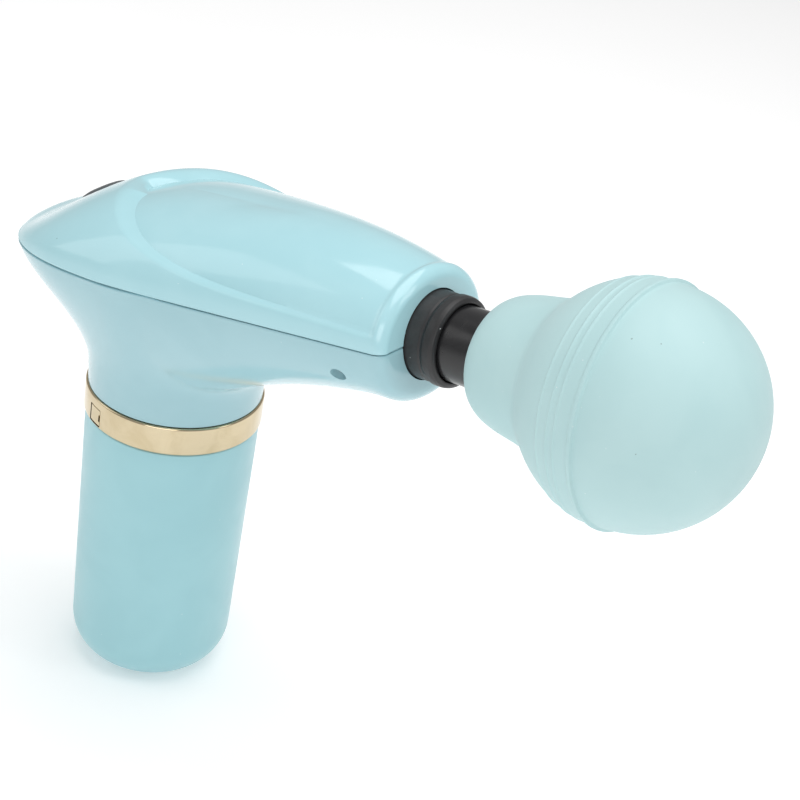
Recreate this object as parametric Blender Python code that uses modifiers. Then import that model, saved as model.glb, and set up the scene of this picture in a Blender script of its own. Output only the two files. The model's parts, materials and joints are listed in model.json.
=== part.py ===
# Handheld massage gun: short round handle, tilted barrel housing, push-in ball head.
# Frame: origin at the centre of the handle's flat base, +Z up the handle axis,
# +X towards the ball head, the object is symmetric about the XZ plane.
import math

import bmesh
import bpy
import numpy as np
from mathutils import Vector

MM = 0.001
GAP = 0.3                  # clearance between touching pieces

# handle
BASE_R = 20.9              # handle radius above the rounded base
TOP_R = 21.95              # handle radius under the trim ring
BASE_FILLET = 11.23
HANDLE_LEN = 74.8
HANDLE_WALL = 1.6
BASE_PLUG_R = 6.0

# trim ring between handle and neck
RING_H = 7.7
RING_R = 22.5
RING_BORE = 19.95
RING_TOP = HANDLE_LEN + RING_H
SLEEVE_PLAY = 0.45         # play of the neck sleeve inside the ring

# barrel
TILT = math.radians(9.12)  # rise of the barrel axis towards the head
AXIS_Z = RING_TOP + 37.3   # height where the barrel axis crosses the handle axis
NOSE = 75.5                # flat nose face, along the barrel axis
REAR = 45.0                # rear tip of the barrel
WIDEST = -3.0              # station of the greatest width
HALF_W = 30.4              # greatest half width at the seam
NOSE_FILLET = 3.4
BELLY_FILLET = 3.6
CROWN = 20.2               # height of the upper shell over the seam
SHELL_WALL = 2.0
RECESS = 1.7               # depth of the inset panel behind its lip
REAR_STEP = 1.6            # how much deeper the panel sits at its rear end
LIP_REAR = -18.0           # where the lip crosses the centre line
NECK_R = 22.0
COLLAR_R = 10.3            # rubber collar where it passes the nose
NOSE_BORE = COLLAR_R + GAP
NOSE_RIM = 0.4             # least flat rim round the bore

# head
PLUG_R = 7.3               # stem inside the piston
PLUG_END = 45.0            # inner end of the stem
BALL_R = 26.35
BALL_BACK_R = BALL_R + 0.3
BALL_S = 130.4             # ball centre along the barrel axis
BALL_WALL = 4.5
HEAD_REAR = 92.6

# drive
CRANK_R = 4.0
ROD_LEN = 26.0
WRIST_S = ROD_LEN - CRANK_R
PISTON_FRONT = 62.0
PISTON_BORE = PLUG_R + 0.35
PISTON_R = PISTON_BORE + 1.55
STEM_R = PISTON_R - 0.45   # stem between the piston and the ball, clear of the bushes
BUSH_BORE = PISTON_R + GAP
BUSH_R = BUSH_BORE + 1.1
GUIDE_BORE = BUSH_R + GAP
GUIDE_R = GUIDE_BORE + 1.0
MOTOR_R = 13.4
CELL_R = 9.1
CELL_LEN = 65.0

SMOOTH_ANGLE = math.radians(35.0)


def clear_scene():
    for ob in list(bpy.data.objects):
        bpy.data.objects.remove(ob, do_unlink=True)


def make_collection(name):
    coll = bpy.data.collections.new(name)
    bpy.context.scene.collection.children.link(coll)
    return coll


clear_scene()
PARTS = make_collection("massage_gun")
CUTTERS = make_collection("massage_gun_cutters")


def make_empty(name, parent=None, loc=(0, 0, 0), rot=(0, 0, 0)):
    ob = bpy.data.objects.new(name, None)
    ob.empty_display_size = 0.01
    ob.parent = parent
    ob.location = [v * MM for v in loc]
    ob.rotation_euler = rot
    PARTS.objects.link(ob)
    return ob


HANDLE_FRAME = make_empty("handle_frame")
BARREL_FRAME = make_empty("barrel_frame", loc=(0, 0, AXIS_Z), rot=(0, -TILT, 0))
HEAD_FRAME = make_empty("head_frame", parent=BARREL_FRAME)
PISTON_FRAME = make_empty("piston_frame", parent=BARREL_FRAME)
MOTOR_FRAME = make_empty("motor_frame", parent=BARREL_FRAME)
ROD_FRAME = make_empty("rod_frame", parent=PISTON_FRAME, loc=(ROD_LEN - CRANK_R, 0, 0))

ALONG = (0, math.radians(90), 0)   # turns a local Z axis onto the barrel axis


def material(name, rgb, rough, metal=0.0):
    mat = bpy.data.materials.get(name)
    if mat:
        return mat
    mat = bpy.data.materials.new(name)
    mat.use_nodes = True
    bsdf = mat.node_tree.nodes["Principled BSDF"]
    bsdf.inputs["Base Color"].default_value = (rgb[0], rgb[1], rgb[2], 1.0)
    bsdf.inputs["Roughness"].default_value = rough
    bsdf.inputs["Metallic"].default_value = metal
    mat.diffuse_color = (rgb[0], rgb[1], rgb[2], 1.0)
    return mat


LOOKS = {
    "gloss_aqua_abs": ((0.42, 0.72, 0.75), 0.18, 0.0),
    "handle_aqua_abs": ((0.33, 0.61, 0.64), 0.3, 0.0),
    "mint_silicone": ((0.47, 0.73, 0.74), 0.6, 0.0),
    "pale_gold": ((0.72, 0.6, 0.36), 0.15, 1.0),
    "black_rubber": ((0.02, 0.02, 0.022), 0.55, 0.0),
    "black_nylon": ((0.015, 0.015, 0.017), 0.25, 0.0),
    "grey_button": ((0.16, 0.18, 0.19), 0.4, 0.0),
    "steel": ((0.55, 0.56, 0.58), 0.3, 1.0),
    "bronze": ((0.5, 0.33, 0.16), 0.35, 1.0),
    "aluminium": ((0.7, 0.71, 0.72), 0.35, 1.0),
    "copper": ((0.7, 0.32, 0.18), 0.35, 1.0),
    "white_nylon": ((0.75, 0.75, 0.72), 0.45, 0.0),
    "green_board": ((0.02, 0.16, 0.07), 0.4, 0.0),
    "cell_blue": ((0.05, 0.2, 0.5), 0.35, 0.0),
    "grey_foam": ((0.1, 0.1, 0.1), 0.9, 0.0),
    "stiff_pu": ((0.32, 0.42, 0.43), 0.7, 0.0),
}


def finish(ob, look, parent, loc=(0, 0, 0), rot=(0, 0, 0), coll=None):
    rgb, rough, metal = LOOKS[look]
    ob.data.materials.clear()
    ob.data.materials.append(material(look, rgb, rough, metal))
    ob.parent = parent
    ob.location = [v * MM for v in loc]
    ob.rotation_euler = rot
    (coll or PARTS).objects.link(ob)
    return ob


def smooth(ob):
    ob.data.shade_smooth()
    ob.data.set_sharp_from_angle(angle=SMOOTH_ANGLE)


def screw(ob, steps):
    mod = ob.modifiers.new("turn", "SCREW")
    mod.axis = "Z"
    mod.angle = 2.0 * math.pi
    mod.steps = steps
    mod.render_steps = steps
    mod.use_merge_vertices = True
    mod.merge_threshold = 0.00002
    mod.use_smooth_shade = True
    return mod


def turned(name, look, profile, parent, loc=(0, 0, 0), rot=(0, 0, 0), steps=32, coll=None):
    """Turned piece. The profile (radius, height) runs down its outer side; a profile
    that never reaches the axis is a closed loop."""
    mesh = bpy.data.meshes.new(name)
    closed = all(r > 1e-6 for r, _ in profile)
    count = len(profile)
    edges = [(i, i + 1) for i in range(count - 1)]
    if closed:
        edges.append((count - 1, 0))
    verts = [(r * MM, 0.0, z * MM) for r, z in profile]
    mesh.from_pydata(verts, edges, [])
    ob = bpy.data.objects.new(name, mesh)
    screw(ob, steps)
    return finish(ob, look, parent, loc, rot, coll)


def ring_profile(r_out, r_in, z_low, z_high, ease=0.3):
    """Closed section of a tube, its edges eased where ease isn't zero."""
    if not ease:
        return [(r_in, z_high), (r_out, z_high), (r_out, z_low), (r_in, z_low)]
    return [
        (r_in + ease, z_high), (r_out - ease, z_high), (r_out, z_high - ease),
        (r_out, z_low + ease), (r_out - ease, z_low), (r_in + ease, z_low),
        (r_in, z_low + ease), (r_in, z_high - ease),
    ]


def disc_profile(r, z_low, z_high, ease=0.3):
    """Section of a solid round bar or disc, its edges eased where ease isn't zero."""
    if not ease:
        return [(0.0, z_high), (r, z_high), (r, z_low), (0.0, z_low)]
    return [
        (0.0, z_high), (r - ease, z_high), (r, z_high - ease),
        (r, z_low + ease), (r - ease, z_low), (0.0, z_low),
    ]


def arc(cx, cz, r, a0, a1, count):
    """Points of an arc in a profile plane, angles in degrees."""
    steps = [math.radians(a0 + (a1 - a0) * i / (count - 1)) for i in range(count)]
    return [(cx + r * math.cos(a), cz + r * math.sin(a)) for a in steps]


def box(name, look, size, parent, loc=(0, 0, 0), rot=(0, 0, 0), bevel=0.3, coll=None):
    mesh = bpy.data.meshes.new(name)
    bm = bmesh.new()
    bmesh.ops.create_cube(bm, size=1.0)
    bmesh.ops.scale(bm, vec=Vector(size) * MM, verts=bm.verts)
    bm.to_mesh(mesh)
    bm.free()
    ob = bpy.data.objects.new(name, mesh)
    if bevel:
        mod = ob.modifiers.new("edges", "BEVEL")
        mod.width = bevel * MM
        mod.segments = 1
    return finish(ob, look, parent, loc, rot, coll)


def hide_cutter(ob):
    ob.hide_render = True
    ob.display_type = "WIRE"
    return ob


def round_cutter(name, r, z_low, z_high, parent, loc=(0, 0, 0), rot=(0, 0, 0), steps=32):
    ob = turned(name, "steel", disc_profile(r, z_low, z_high, 0.0), parent, loc, rot,
                steps, CUTTERS)
    return hide_cutter(ob)


def box_cutter(name, size, parent, loc=(0, 0, 0), rot=(0, 0, 0), bevel=0.0):
    ob = box(name, "steel", size, parent, loc, rot, bevel, CUTTERS)
    return hide_cutter(ob)


def combine(ob, other, operation="DIFFERENCE"):
    mod = ob.modifiers.new(operation.lower() + "_" + other.name, "BOOLEAN")
    mod.operation = operation
    mod.solver = "EXACT"
    mod.object = other
    return ob


# ---------------------------------------------------------------------------
# barrel sections: half width, crown and belly at each station along the barrel

def smoothstep(v):
    v = np.clip(v, 0.0, 1.0)
    return v * v * (3.0 - 2.0 * v)


def nose_shrink(s, inset, radius=NOSE_FILLET):
    """How far the section draws in where it rounds into the nose face."""
    fillet = max(radius - inset, 1.0)
    start = NOSE - inset - fillet
    over = np.clip(s - start, 0.0, fillet)
    return fillet - np.sqrt(fillet ** 2 - over ** 2)


def half_width(s, inset=0.0):
    s = np.asarray(s, float)
    u = np.clip((WIDEST - s) / (REAR + WIDEST - inset), 0.0, 1.0)
    rear = (HALF_W - inset) * (1.0 - u ** 2.7) ** (1.0 / 2.7)
    taper = 0.175 * (np.sqrt((s - WIDEST) ** 2 + 8.3 ** 2) - 8.3)
    front = HALF_W - inset - taper - nose_shrink(s, inset)
    return np.where(s < WIDEST, rear, front)


def crown_height(s, inset=0.0):
    s = np.asarray(s, float)
    u = np.clip((34.0 - s) / (34.0 + REAR), 0.0, 1.0)
    rise = CROWN * (1.0 - u ** 4.0) ** 1.6
    drop = 0.0031 * np.clip(s - 34.0, 0.0, None) ** 2
    base = np.clip(rise - drop - inset, 0.0, None)
    e = np.clip(s + REAR - inset, 0.0, None)
    return np.sqrt(base ** 2 + 6.0 * e * np.exp(-e / 3.0)) - nose_shrink(s, inset)


def belly_depth(s, inset=0.0):
    s = np.asarray(s, float)
    d = np.clip(67.5 - s, 0.0, None)
    return 16.1 + 0.105 * d + 0.0038 * d * d - inset - nose_shrink(s, inset, BELLY_FILLET)


def lip_station(psi):
    """Station where the lip of the inset panel stands at section angle psi."""
    frac = np.clip((psi - 11.0) / 79.0, 1e-4, 1.0)
    run = 20.5 * (-np.log(frac)) ** (1.0 / 1.15)
    return LIP_REAR + np.sqrt(run * run + 9.0) - 3.0


def resample(points, fractions):
    """Points at the given fractions of a polyline's length."""
    step = np.linalg.norm(np.diff(points, axis=0), axis=1)
    dist = np.concatenate([[0.0], np.cumsum(step)])
    want = np.asarray(fractions) * dist[-1]
    cols = [np.interp(want, dist, points[:, k]) for k in range(points.shape[1])]
    return np.stack(cols, 1)


def plan_curves(columns, inset):
    """Seam outline, lip and crown line in plan, from the nose round to the rear."""
    start = NOSE - NOSE_FILLET
    rear = -(REAR - inset)
    k = np.linspace(0.0, 1.0, 600)
    s = rear + (start - rear) * (1.0 - np.sin(k * math.pi / 2.0))
    outline = np.stack([s, half_width(s, inset)], 1)
    psi = 11.05 + 78.95 * np.linspace(0.0, 1.0, 900) ** 2
    s_lip = np.minimum(lip_station(psi), start)
    keep = s_lip < start
    first = np.array([[start, half_width(start, inset) * math.cos(math.radians(11.0))]])
    wide = half_width(s_lip[keep], inset) * np.cos(np.radians(psi[keep]))
    lip = np.concatenate([first, np.stack([s_lip[keep], wide], 1)])
    lip[-1, 1] = 0.0
    frac = np.linspace(0.0, 1.0, columns)
    crown = np.stack([start + (4.0 - start) * frac, np.zeros(columns)], 1)
    return resample(outline, frac), resample(lip, frac), crown


def section_point(s, y, inset):
    w = np.maximum(half_width(s, inset), 1e-6)
    c = crown_height(s, inset)
    return c * np.sqrt(np.clip(1.0 - (y / w) ** 2, 0.0, 1.0))


def upper_grid(columns, hood_rows, panel_rows, lip_steps, inset):
    """Grid of (s, y, t) points of one half of the upper shell's skin."""
    outline, lip, crown = plan_curves(columns, inset)
    rows = []
    for i in range(hood_rows + 1):
        x = i / hood_rows
        plan = outline + (lip - outline) * x * x
        rows.append((plan, 0.0))
    w_lip = np.maximum(half_width(lip[:, 0], inset), 1e-6)
    psi = np.degrees(np.arccos(np.clip(lip[:, 1] / w_lip, 0.0, 1.0)))
    span = np.maximum(90.0 - psi, 0.5)
    first = np.minimum(7.0 / span, 0.3)
    for i in range(1, lip_steps + panel_rows + 1):
        if i <= lip_steps:
            x = first * i / lip_steps
            sink = float(smoothstep(i / lip_steps))
        else:
            x = first + (1.0 - first) * (i - lip_steps) / panel_rows
            sink = 1.0
        edge = np.cos(np.radians(90.0 - span))
        g = 1.0 - np.cos(np.radians(90.0 - span * (1.0 - x))) / edge
        plan = lip + (crown - lip) * g[:, None]
        rows.append((plan, sink))
    depth = 0.6 + (RECESS - 0.6) * smoothstep((66.0 - lip[:, 0]) / 60.0)
    depth = depth + REAR_STEP * smoothstep((24.0 - lip[:, 0]) / 26.0) * np.sin(np.radians(psi))
    grid = []
    for plan, sink in rows:
        s = plan[:, 0]
        y = plan[:, 1]
        t = section_point(s, y, inset)
        front = smoothstep((NOSE - NOSE_FILLET - 0.8 - s) / 1.6)
        reach = np.maximum(np.hypot(y, t), 1.0)
        scale = 1.0 - sink * depth * front / reach
        grid.append(np.stack([s, y * scale, t * scale], 1))
    return np.array(grid)


def fillet_end(psi, begin, fillet, least):
    """How far round the nose fillet a row goes before it meets the bore's rim."""
    turn = np.linspace(0.0, math.pi / 2.0, 91)
    sk = begin + fillet * np.sin(turn)
    inset = NOSE - begin - fillet
    reach = np.hypot(half_width(sk, inset) * math.cos(psi), crown_height(sk, inset) * math.sin(psi))
    return float(np.interp(-least, -reach, turn))


def add_nose(grid, inset, stations, bore):
    """Carries every row round the nose fillet and in to the bore, whose flats clear its radius."""
    start = NOSE - NOSE_FILLET
    w0 = float(half_width(start, inset))
    c0 = float(crown_height(start, inset))
    fillet = max(NOSE_FILLET - inset, 1.0)
    begin = NOSE - inset - fillet
    angles = np.arctan2(grid[:, 0, 2] / c0, grid[:, 0, 1] / w0)
    bore = bore / math.cos(0.5 * float(np.max(np.diff(angles))))
    out = []
    for row, psi in zip(grid, angles):
        lead = []
        end = fillet_end(psi, begin, fillet, bore + NOSE_RIM)
        for i in range(1, stations + 1):
            sk = begin + fillet * math.sin(i / stations * end)
            wk = float(half_width(sk, inset))
            ck = float(crown_height(sk, inset))
            lead.append([sk, wk * math.cos(psi), ck * math.sin(psi)])
        lead.append([sk, bore * math.cos(psi), bore * math.sin(psi)])
        out.append(np.concatenate([np.array(lead[::-1]), row]))
    return np.array(out)


def upper_skin(inset, columns, hood_rows, panel_rows, lip_steps, stations, bore):
    grid = upper_grid(columns, hood_rows, panel_rows, lip_steps, inset)
    grid = add_nose(grid, inset, stations, bore)
    grid[0, :, 2] = GAP / 2.0
    grid[:, :, 2] = np.maximum(grid[:, :, 2], GAP / 2.0)
    grid[-1, :, 1] = 0.0
    grid[:, -1, 1] = 0.0
    return grid


def smooth_min(a, b, k):
    h = np.clip(0.5 + 0.5 * (b - a) / k, 0.0, 1.0)
    return b + (a - b) * h - k * h * (1.0 - h)


def flare_radius(az, x, z, inset):
    """Neck radius about the handle axis, opening from the ring up to the seam."""
    c = np.cos(az)
    reach = np.where(c > 0.0, 26.0 + (HALF_W - 26.0) * np.sin(az) ** 2, outline_radius(az))
    seam = AXIS_Z - RING_TOP + reach * c * math.tan(TILT)
    span = seam - 4.0
    rise = smoothstep((z - 6.0) / span) / smoothstep((seam - 6.0) / span)
    foot = 0.5 * smoothstep(z / 9.0)
    return NECK_R - inset + foot + (reach - NECK_R - foot) * rise


def outline_radius(az):
    """Distance from the handle axis to the seam outline, rear half."""
    lo = np.zeros_like(az)
    hi = np.full_like(az, 60.0)
    for _ in range(40):
        mid = 0.5 * (lo + hi)
        s = mid * np.cos(az) / math.cos(TILT)
        inside = (np.abs(mid * np.sin(az)) < half_width(s)) & (s > -REAR)
        lo = np.where(inside, mid, lo)
        hi = np.where(inside, hi, mid)
    return 0.5 * (lo + hi)


def lower_field(x, y, z, inset):
    """Negative inside the lower housing; z is measured from the ring's top."""
    h = z - (AXIS_Z - RING_TOP)
    s = x * math.cos(TILT) + h * math.sin(TILT)
    t = -x * math.sin(TILT) + h * math.cos(TILT)
    w = np.maximum(half_width(s, inset), 0.5)
    b = np.maximum(belly_depth(s, inset), 0.5)
    fade = np.sqrt(np.clip(1.0 - (np.clip(25.0 - s, 0.0, None) / 60.0) ** 2, 0.02, 1.0))
    belly = (np.sqrt((y / (w * fade)) ** 2 + (t / (b * fade)) ** 2) - 1.0) * 16.0
    belly = np.where((s > NOSE - inset) | (s < -20.0), 20.0, belly)
    az = np.arctan2(np.abs(y), x)
    flare = np.hypot(x, y) - flare_radius(az, x, z, inset)
    return smooth_min(belly, flare, 2.4)


def lower_point(az, elev, inset):
    """Distance from the barrel centre to the skin along a direction."""
    cx = np.cos(az) * np.cos(elev)
    cy = np.sin(az) * np.cos(elev)
    cz = np.sin(elev)
    lo = np.full_like(cx, 5.0)
    hi = np.full_like(cx, 110.0)
    z0 = AXIS_Z - RING_TOP
    for _ in range(44):
        mid = 0.5 * (lo + hi)
        inside = lower_field(cx * mid, cy * mid, z0 + cz * mid, inset) < 0.0
        lo = np.where(inside, mid, lo)
        hi = np.where(inside, hi, mid)
    mid = 0.5 * (lo + hi)
    return np.stack([cx * mid, cy * mid, z0 + cz * mid], -1)


def lower_columns(count):
    """Azimuths of the columns, closer together round the nose corners."""
    k = np.linspace(0.0, 1.0, count)
    return math.pi * (0.42 * k + 0.58 * k ** 2.2)


def lower_skin(inset, columns, rows):
    """Grid of one half of the lower shell's skin, seam first, ring last."""
    grid = []
    z0 = AXIS_Z - RING_TOP
    lift = GAP / 2.0 / math.cos(TILT)
    for az in lower_columns(columns):
        top = math.atan(math.tan(TILT) * math.cos(az)) - 0.002
        end = -math.atan2(z0 - GAP, NECK_R - inset)
        fine = np.linspace(top, end, 240)
        track = lower_point(np.full_like(fine, az), fine, inset)
        flat = np.stack([np.hypot(track[:, 0], track[:, 1]), track[:, 2], fine], 1)
        step = np.hypot(np.diff(flat[:, 0]), np.diff(flat[:, 1]))
        dist = np.concatenate([[0.0], np.cumsum(step)])
        want = np.linspace(0.0, dist[-1], rows)
        elev = np.interp(want, dist, fine)
        column = lower_point(np.full_like(elev, az), elev, inset)
        seam = z0 + column[0, 0] * math.tan(TILT) - lift
        column[0, 2] = seam
        radius = NECK_R - inset
        column[-1] = [radius * math.cos(az), radius * math.sin(az), GAP]
        grid.append(column)
    grid = np.array(grid).transpose(1, 0, 2)
    grid[:, 0, 1] = 0.0
    grid[:, -1, 1] = 0.0
    return grid


def shell_from_grids(name, outer, inner, open_first_column):
    """Closed half shell between two matching grids, open only on the mirror plane."""
    rows, cols = outer.shape[:2]
    verts = [tuple(p * MM) for p in outer.reshape(-1, 3)]
    verts += [tuple(p * MM) for p in inner.reshape(-1, 3)]
    base = rows * cols
    faces = []
    for i in range(rows - 1):
        for j in range(cols - 1):
            a, b = i * cols + j, i * cols + j + 1
            c, d = b + cols, a + cols
            faces.append((a, b, c, d))
            faces.append((base + a, base + d, base + c, base + b))
    for j in range(cols - 1):
        faces.append((j, base + j, base + j + 1, j + 1))
    if open_first_column:
        for i in range(rows - 1):
            a, d = i * cols, (i + 1) * cols
            faces.append((a, d, base + d, base + a))
    else:
        last = (rows - 1) * cols
        for j in range(cols - 1):
            a = last + j
            faces.append((a, a + 1, base + a + 1, base + a))
    mesh = bpy.data.meshes.new(name)
    mesh.from_pydata(verts, [], faces)
    bm = bmesh.new()
    bm.from_mesh(mesh)
    bmesh.ops.remove_doubles(bm, verts=bm.verts, dist=0.00001)
    bmesh.ops.recalc_face_normals(bm, faces=bm.faces)
    bmesh.ops.triangulate(bm, faces=bm.faces)
    bm.to_mesh(mesh)
    bm.free()
    return bpy.data.objects.new(name, mesh)


def mirror_y(ob):
    mod = ob.modifiers.new("halves", "MIRROR")
    mod.use_axis = (False, True, False)
    mod.use_clip = True
    mod.merge_threshold = 0.00002
    return ob


# ---------------------------------------------------------------------------
# housing

BUTTON_S = -30.0
BUTTON_R = 6.5
BUTTON_SLOPE = math.atan2(
    float(crown_height(BUTTON_S + 3.0) - crown_height(BUTTON_S - 3.0)), 6.0)
BUTTON_T = float(crown_height(BUTTON_S))
BUTTON_FRAME = make_empty("button_frame", parent=BARREL_FRAME,
                          loc=(BUTTON_S, 0, BUTTON_T), rot=(0, -BUTTON_SLOPE, 0))
USB_Z = RING_TOP + 8.0
SCREW_S = 63.2             # side screws under the nose, square to the belly
SCREW_ANGLE = math.radians(28.0)


def screw_seat(side, sign):
    y = float(half_width(SCREW_S)) * math.cos(SCREW_ANGLE)
    t = -float(belly_depth(SCREW_S)) * math.sin(SCREW_ANGLE)
    lean = math.atan2(y / float(half_width(SCREW_S)) ** 2, -t / float(belly_depth(SCREW_S)) ** 2)
    return make_empty("screw_seat_" + side, parent=BARREL_FRAME, loc=(SCREW_S, sign * y, t),
                      rot=(math.pi + sign * lean, 0, 0))


SCREW_SEATS = {"left": screw_seat("left", 1.0), "right": screw_seat("right", -1.0)}


def upper_shell():
    outer = upper_skin(0.0, 25, 4, 5, 2, 3, NOSE_BORE)
    inner = upper_skin(SHELL_WALL, 25, 4, 5, 2, 3, NOSE_BORE)
    ob = shell_from_grids("upper_shell", outer, inner, True)
    mirror_y(ob)
    hole = round_cutter("button_hole", BUTTON_R + GAP, -5.0, 6.0, BUTTON_FRAME, steps=28)
    combine(ob, hole)
    return finish(ob, "gloss_aqua_abs", BARREL_FRAME)


def lower_shell():
    outer = lower_skin(0.0, 27, 11)
    inner = lower_skin(SHELL_WALL, 27, 11)
    ob = shell_from_grids("lower_shell", outer, inner, False)
    mirror_y(ob)
    bore = round_cutter("nose_bore", NOSE_BORE, 60.0, 90.0, BARREL_FRAME, rot=ALONG, steps=36)
    for side, seat in SCREW_SEATS.items():
        boss = round_cutter("boss_" + side, 3.0, -4.8, -1.0, seat, steps=14)
        combine(ob, boss, "UNION")
        sink = round_cutter("sink_" + side, 1.9, -2.6, 4.0, seat, steps=14)
        combine(ob, sink)
        hole = round_cutter("shank_" + side, 1.1, -7.0, -1.0, seat, steps=10)
        combine(ob, hole)
    combine(ob, bore)
    slot = box_cutter("usb_slot", (9.0, 9.8, 3.8), HANDLE_FRAME, (-22.0, 0, USB_Z), bevel=1.2)
    combine(ob, slot)
    return finish(ob, "gloss_aqua_abs", HANDLE_FRAME, (0, 0, RING_TOP))


def belly_screws():
    profile = [(0.0, -1.3), (1.5, -1.4), (1.6, -2.3), (0.8, -2.3), (0.8, -5.2), (0.0, -5.2)]
    for side, seat in SCREW_SEATS.items():
        turned("belly_screw_" + side, "steel", profile, seat, steps=12)


def handle_shell():
    z_fillet = BASE_FILLET
    flat_r = BASE_R - BASE_FILLET
    wall = HANDLE_WALL
    inner_fillet = BASE_FILLET - wall
    outer = [(TOP_R - 0.5, HANDLE_LEN - GAP), (TOP_R, HANDLE_LEN - GAP - 0.5)]
    outer += arc(flat_r, z_fillet, BASE_FILLET, 0.0, -90.0, 6)
    inner = arc(flat_r, z_fillet, inner_fillet, -90.0, 0.0, 4)
    inner += [(TOP_R - wall, HANDLE_LEN - GAP)]
    axis_hole = [(BASE_PLUG_R + GAP, 0.0), (BASE_PLUG_R + GAP, wall)]
    return turned("handle_shell", "handle_aqua_abs", outer + axis_hole + inner,
                  HANDLE_FRAME, steps=40)


def base_plug():
    seat = HANDLE_WALL + GAP
    return turned("base_plug", "handle_aqua_abs", [
        (0.0, seat + 0.7), (BASE_PLUG_R + 1.2, seat + 0.7), (BASE_PLUG_R + 1.2, seat),
        (BASE_PLUG_R, seat), (BASE_PLUG_R, 0.0), (0.0, 0.0),
    ], HANDLE_FRAME, steps=20)


def neck_sleeve():
    outer = RING_BORE - SLEEVE_PLAY
    return turned("neck_sleeve", "white_nylon", ring_profile(outer, outer - 0.9, HANDLE_LEN - 6.8, RING_TOP + 2.5, 0.0),
                  HANDLE_FRAME, steps=36)


CLIP_AZ = math.radians(-105.0)
CLIP_Z = RING_TOP - 4.75


def trim_ring():
    low = HANDLE_LEN
    profile = [
        (RING_BORE, RING_TOP), (RING_R - 0.6, RING_TOP), (RING_R, RING_TOP - 0.6),
        (RING_R, low + 0.6), (RING_R - 0.6, low), (RING_BORE, low),
    ]
    ob = turned("trim_ring", "pale_gold", profile, HANDLE_FRAME, steps=40)
    slot = box_cutter("clip_slot", (2.4, 4.9, 4.9), HANDLE_FRAME,
                      (RING_R * math.cos(CLIP_AZ), RING_R * math.sin(CLIP_AZ), CLIP_Z),
                      (0, 0, CLIP_AZ))
    return combine(ob, slot)


def trim_ring_clip():
    r = RING_R - 0.35
    return box("trim_ring_clip", "pale_gold", (0.9, 4.3, 4.3), HANDLE_FRAME,
               (r * math.cos(CLIP_AZ), r * math.sin(CLIP_AZ), CLIP_Z), (0, 0, CLIP_AZ), 0.2)


def nose_collar():
    beads = [
        (-0.4, 9.7), (0.1, 8.7), (0.1, 6.7), (-0.3, 5.9), (0.2, 4.9), (0.2, 2.7),
        (-0.3, 1.7), (0.0, 0.9), (0.0, -2.1), (-0.6, -2.9),
    ]
    bore = STEM_R + GAP
    profile = [(COLLAR_R + dr, NOSE + ds) for dr, ds in beads]
    profile = [(bore, NOSE + 9.7)] + profile + [(bore, NOSE - 2.9)]
    return turned("nose_collar", "black_rubber", profile, BARREL_FRAME, rot=ALONG, steps=32)


def power_button():
    profile = [(0.0, 0.75), (3.4, 0.6), (5.6, 0.25), (BUTTON_R, -0.4), (BUTTON_R, -3.0),
               (0.0, -3.0)]
    return turned("power_button", "grey_button", profile, BUTTON_FRAME, steps=24)


def button_board():
    return box("button_board", "green_board", (15.0, 15.0, 1.0), BUTTON_FRAME, (0, 0, -7.0))


def tact_switch():
    return box("tact_switch", "steel", (5.0, 5.0, 1.8), BUTTON_FRAME, (0, 0, -5.3))


# ---------------------------------------------------------------------------
# handle contents

def battery():
    can = disc_profile(CELL_R, 8.6, 8.6 + CELL_LEN - 1.6, 0.0)
    can = [(0.0, 8.6 + CELL_LEN), (2.8, 8.6 + CELL_LEN), (2.8, 8.6 + CELL_LEN - 1.5)] + can[1:]
    for side, y in (("left", CELL_R + 0.15), ("right", -CELL_R - 0.15)):
        turned("battery_cell_" + side, "cell_blue", can, HANDLE_FRAME, (0, y, 0), steps=24)
    for side, x in (("front", 8.6), ("rear", -8.6)):
        box("cell_spacer_" + side, "white_nylon", (2.6, 5.0, 52.0), HANDLE_FRAME, (x, 0, 41.0))
    box("cell_link", "steel", (7.0, 24.0, 0.3), HANDLE_FRAME, (0, 0, 8.1), bevel=0)
    turned("base_pad", "grey_foam", disc_profile(10.5, 3.0, 7.6, 0.0), HANDLE_FRAME, steps=24)
    box("protection_board", "green_board", (12.0, 30.0, 1.0), HANDLE_FRAME,
        (0, 0, HANDLE_LEN - 0.2))
    board = disc_profile(RING_BORE - 1.95, RING_TOP - 5.1, RING_TOP - 3.5, 0.0)
    turned("main_board", "green_board", board, HANDLE_FRAME, steps=32)
    box("power_inductor", "black_nylon", (7.0, 7.0, 3.4), HANDLE_FRAME,
        (-8.0, 4.0, RING_TOP - 1.5))


def usb_socket():
    return box("usb_socket", "steel", (7.0, 9.0, 3.2), HANDLE_FRAME, (-18.9, 0, USB_Z), bevel=0.8)


# ---------------------------------------------------------------------------
# motor and crank, turned about the axis square to the barrel

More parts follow.
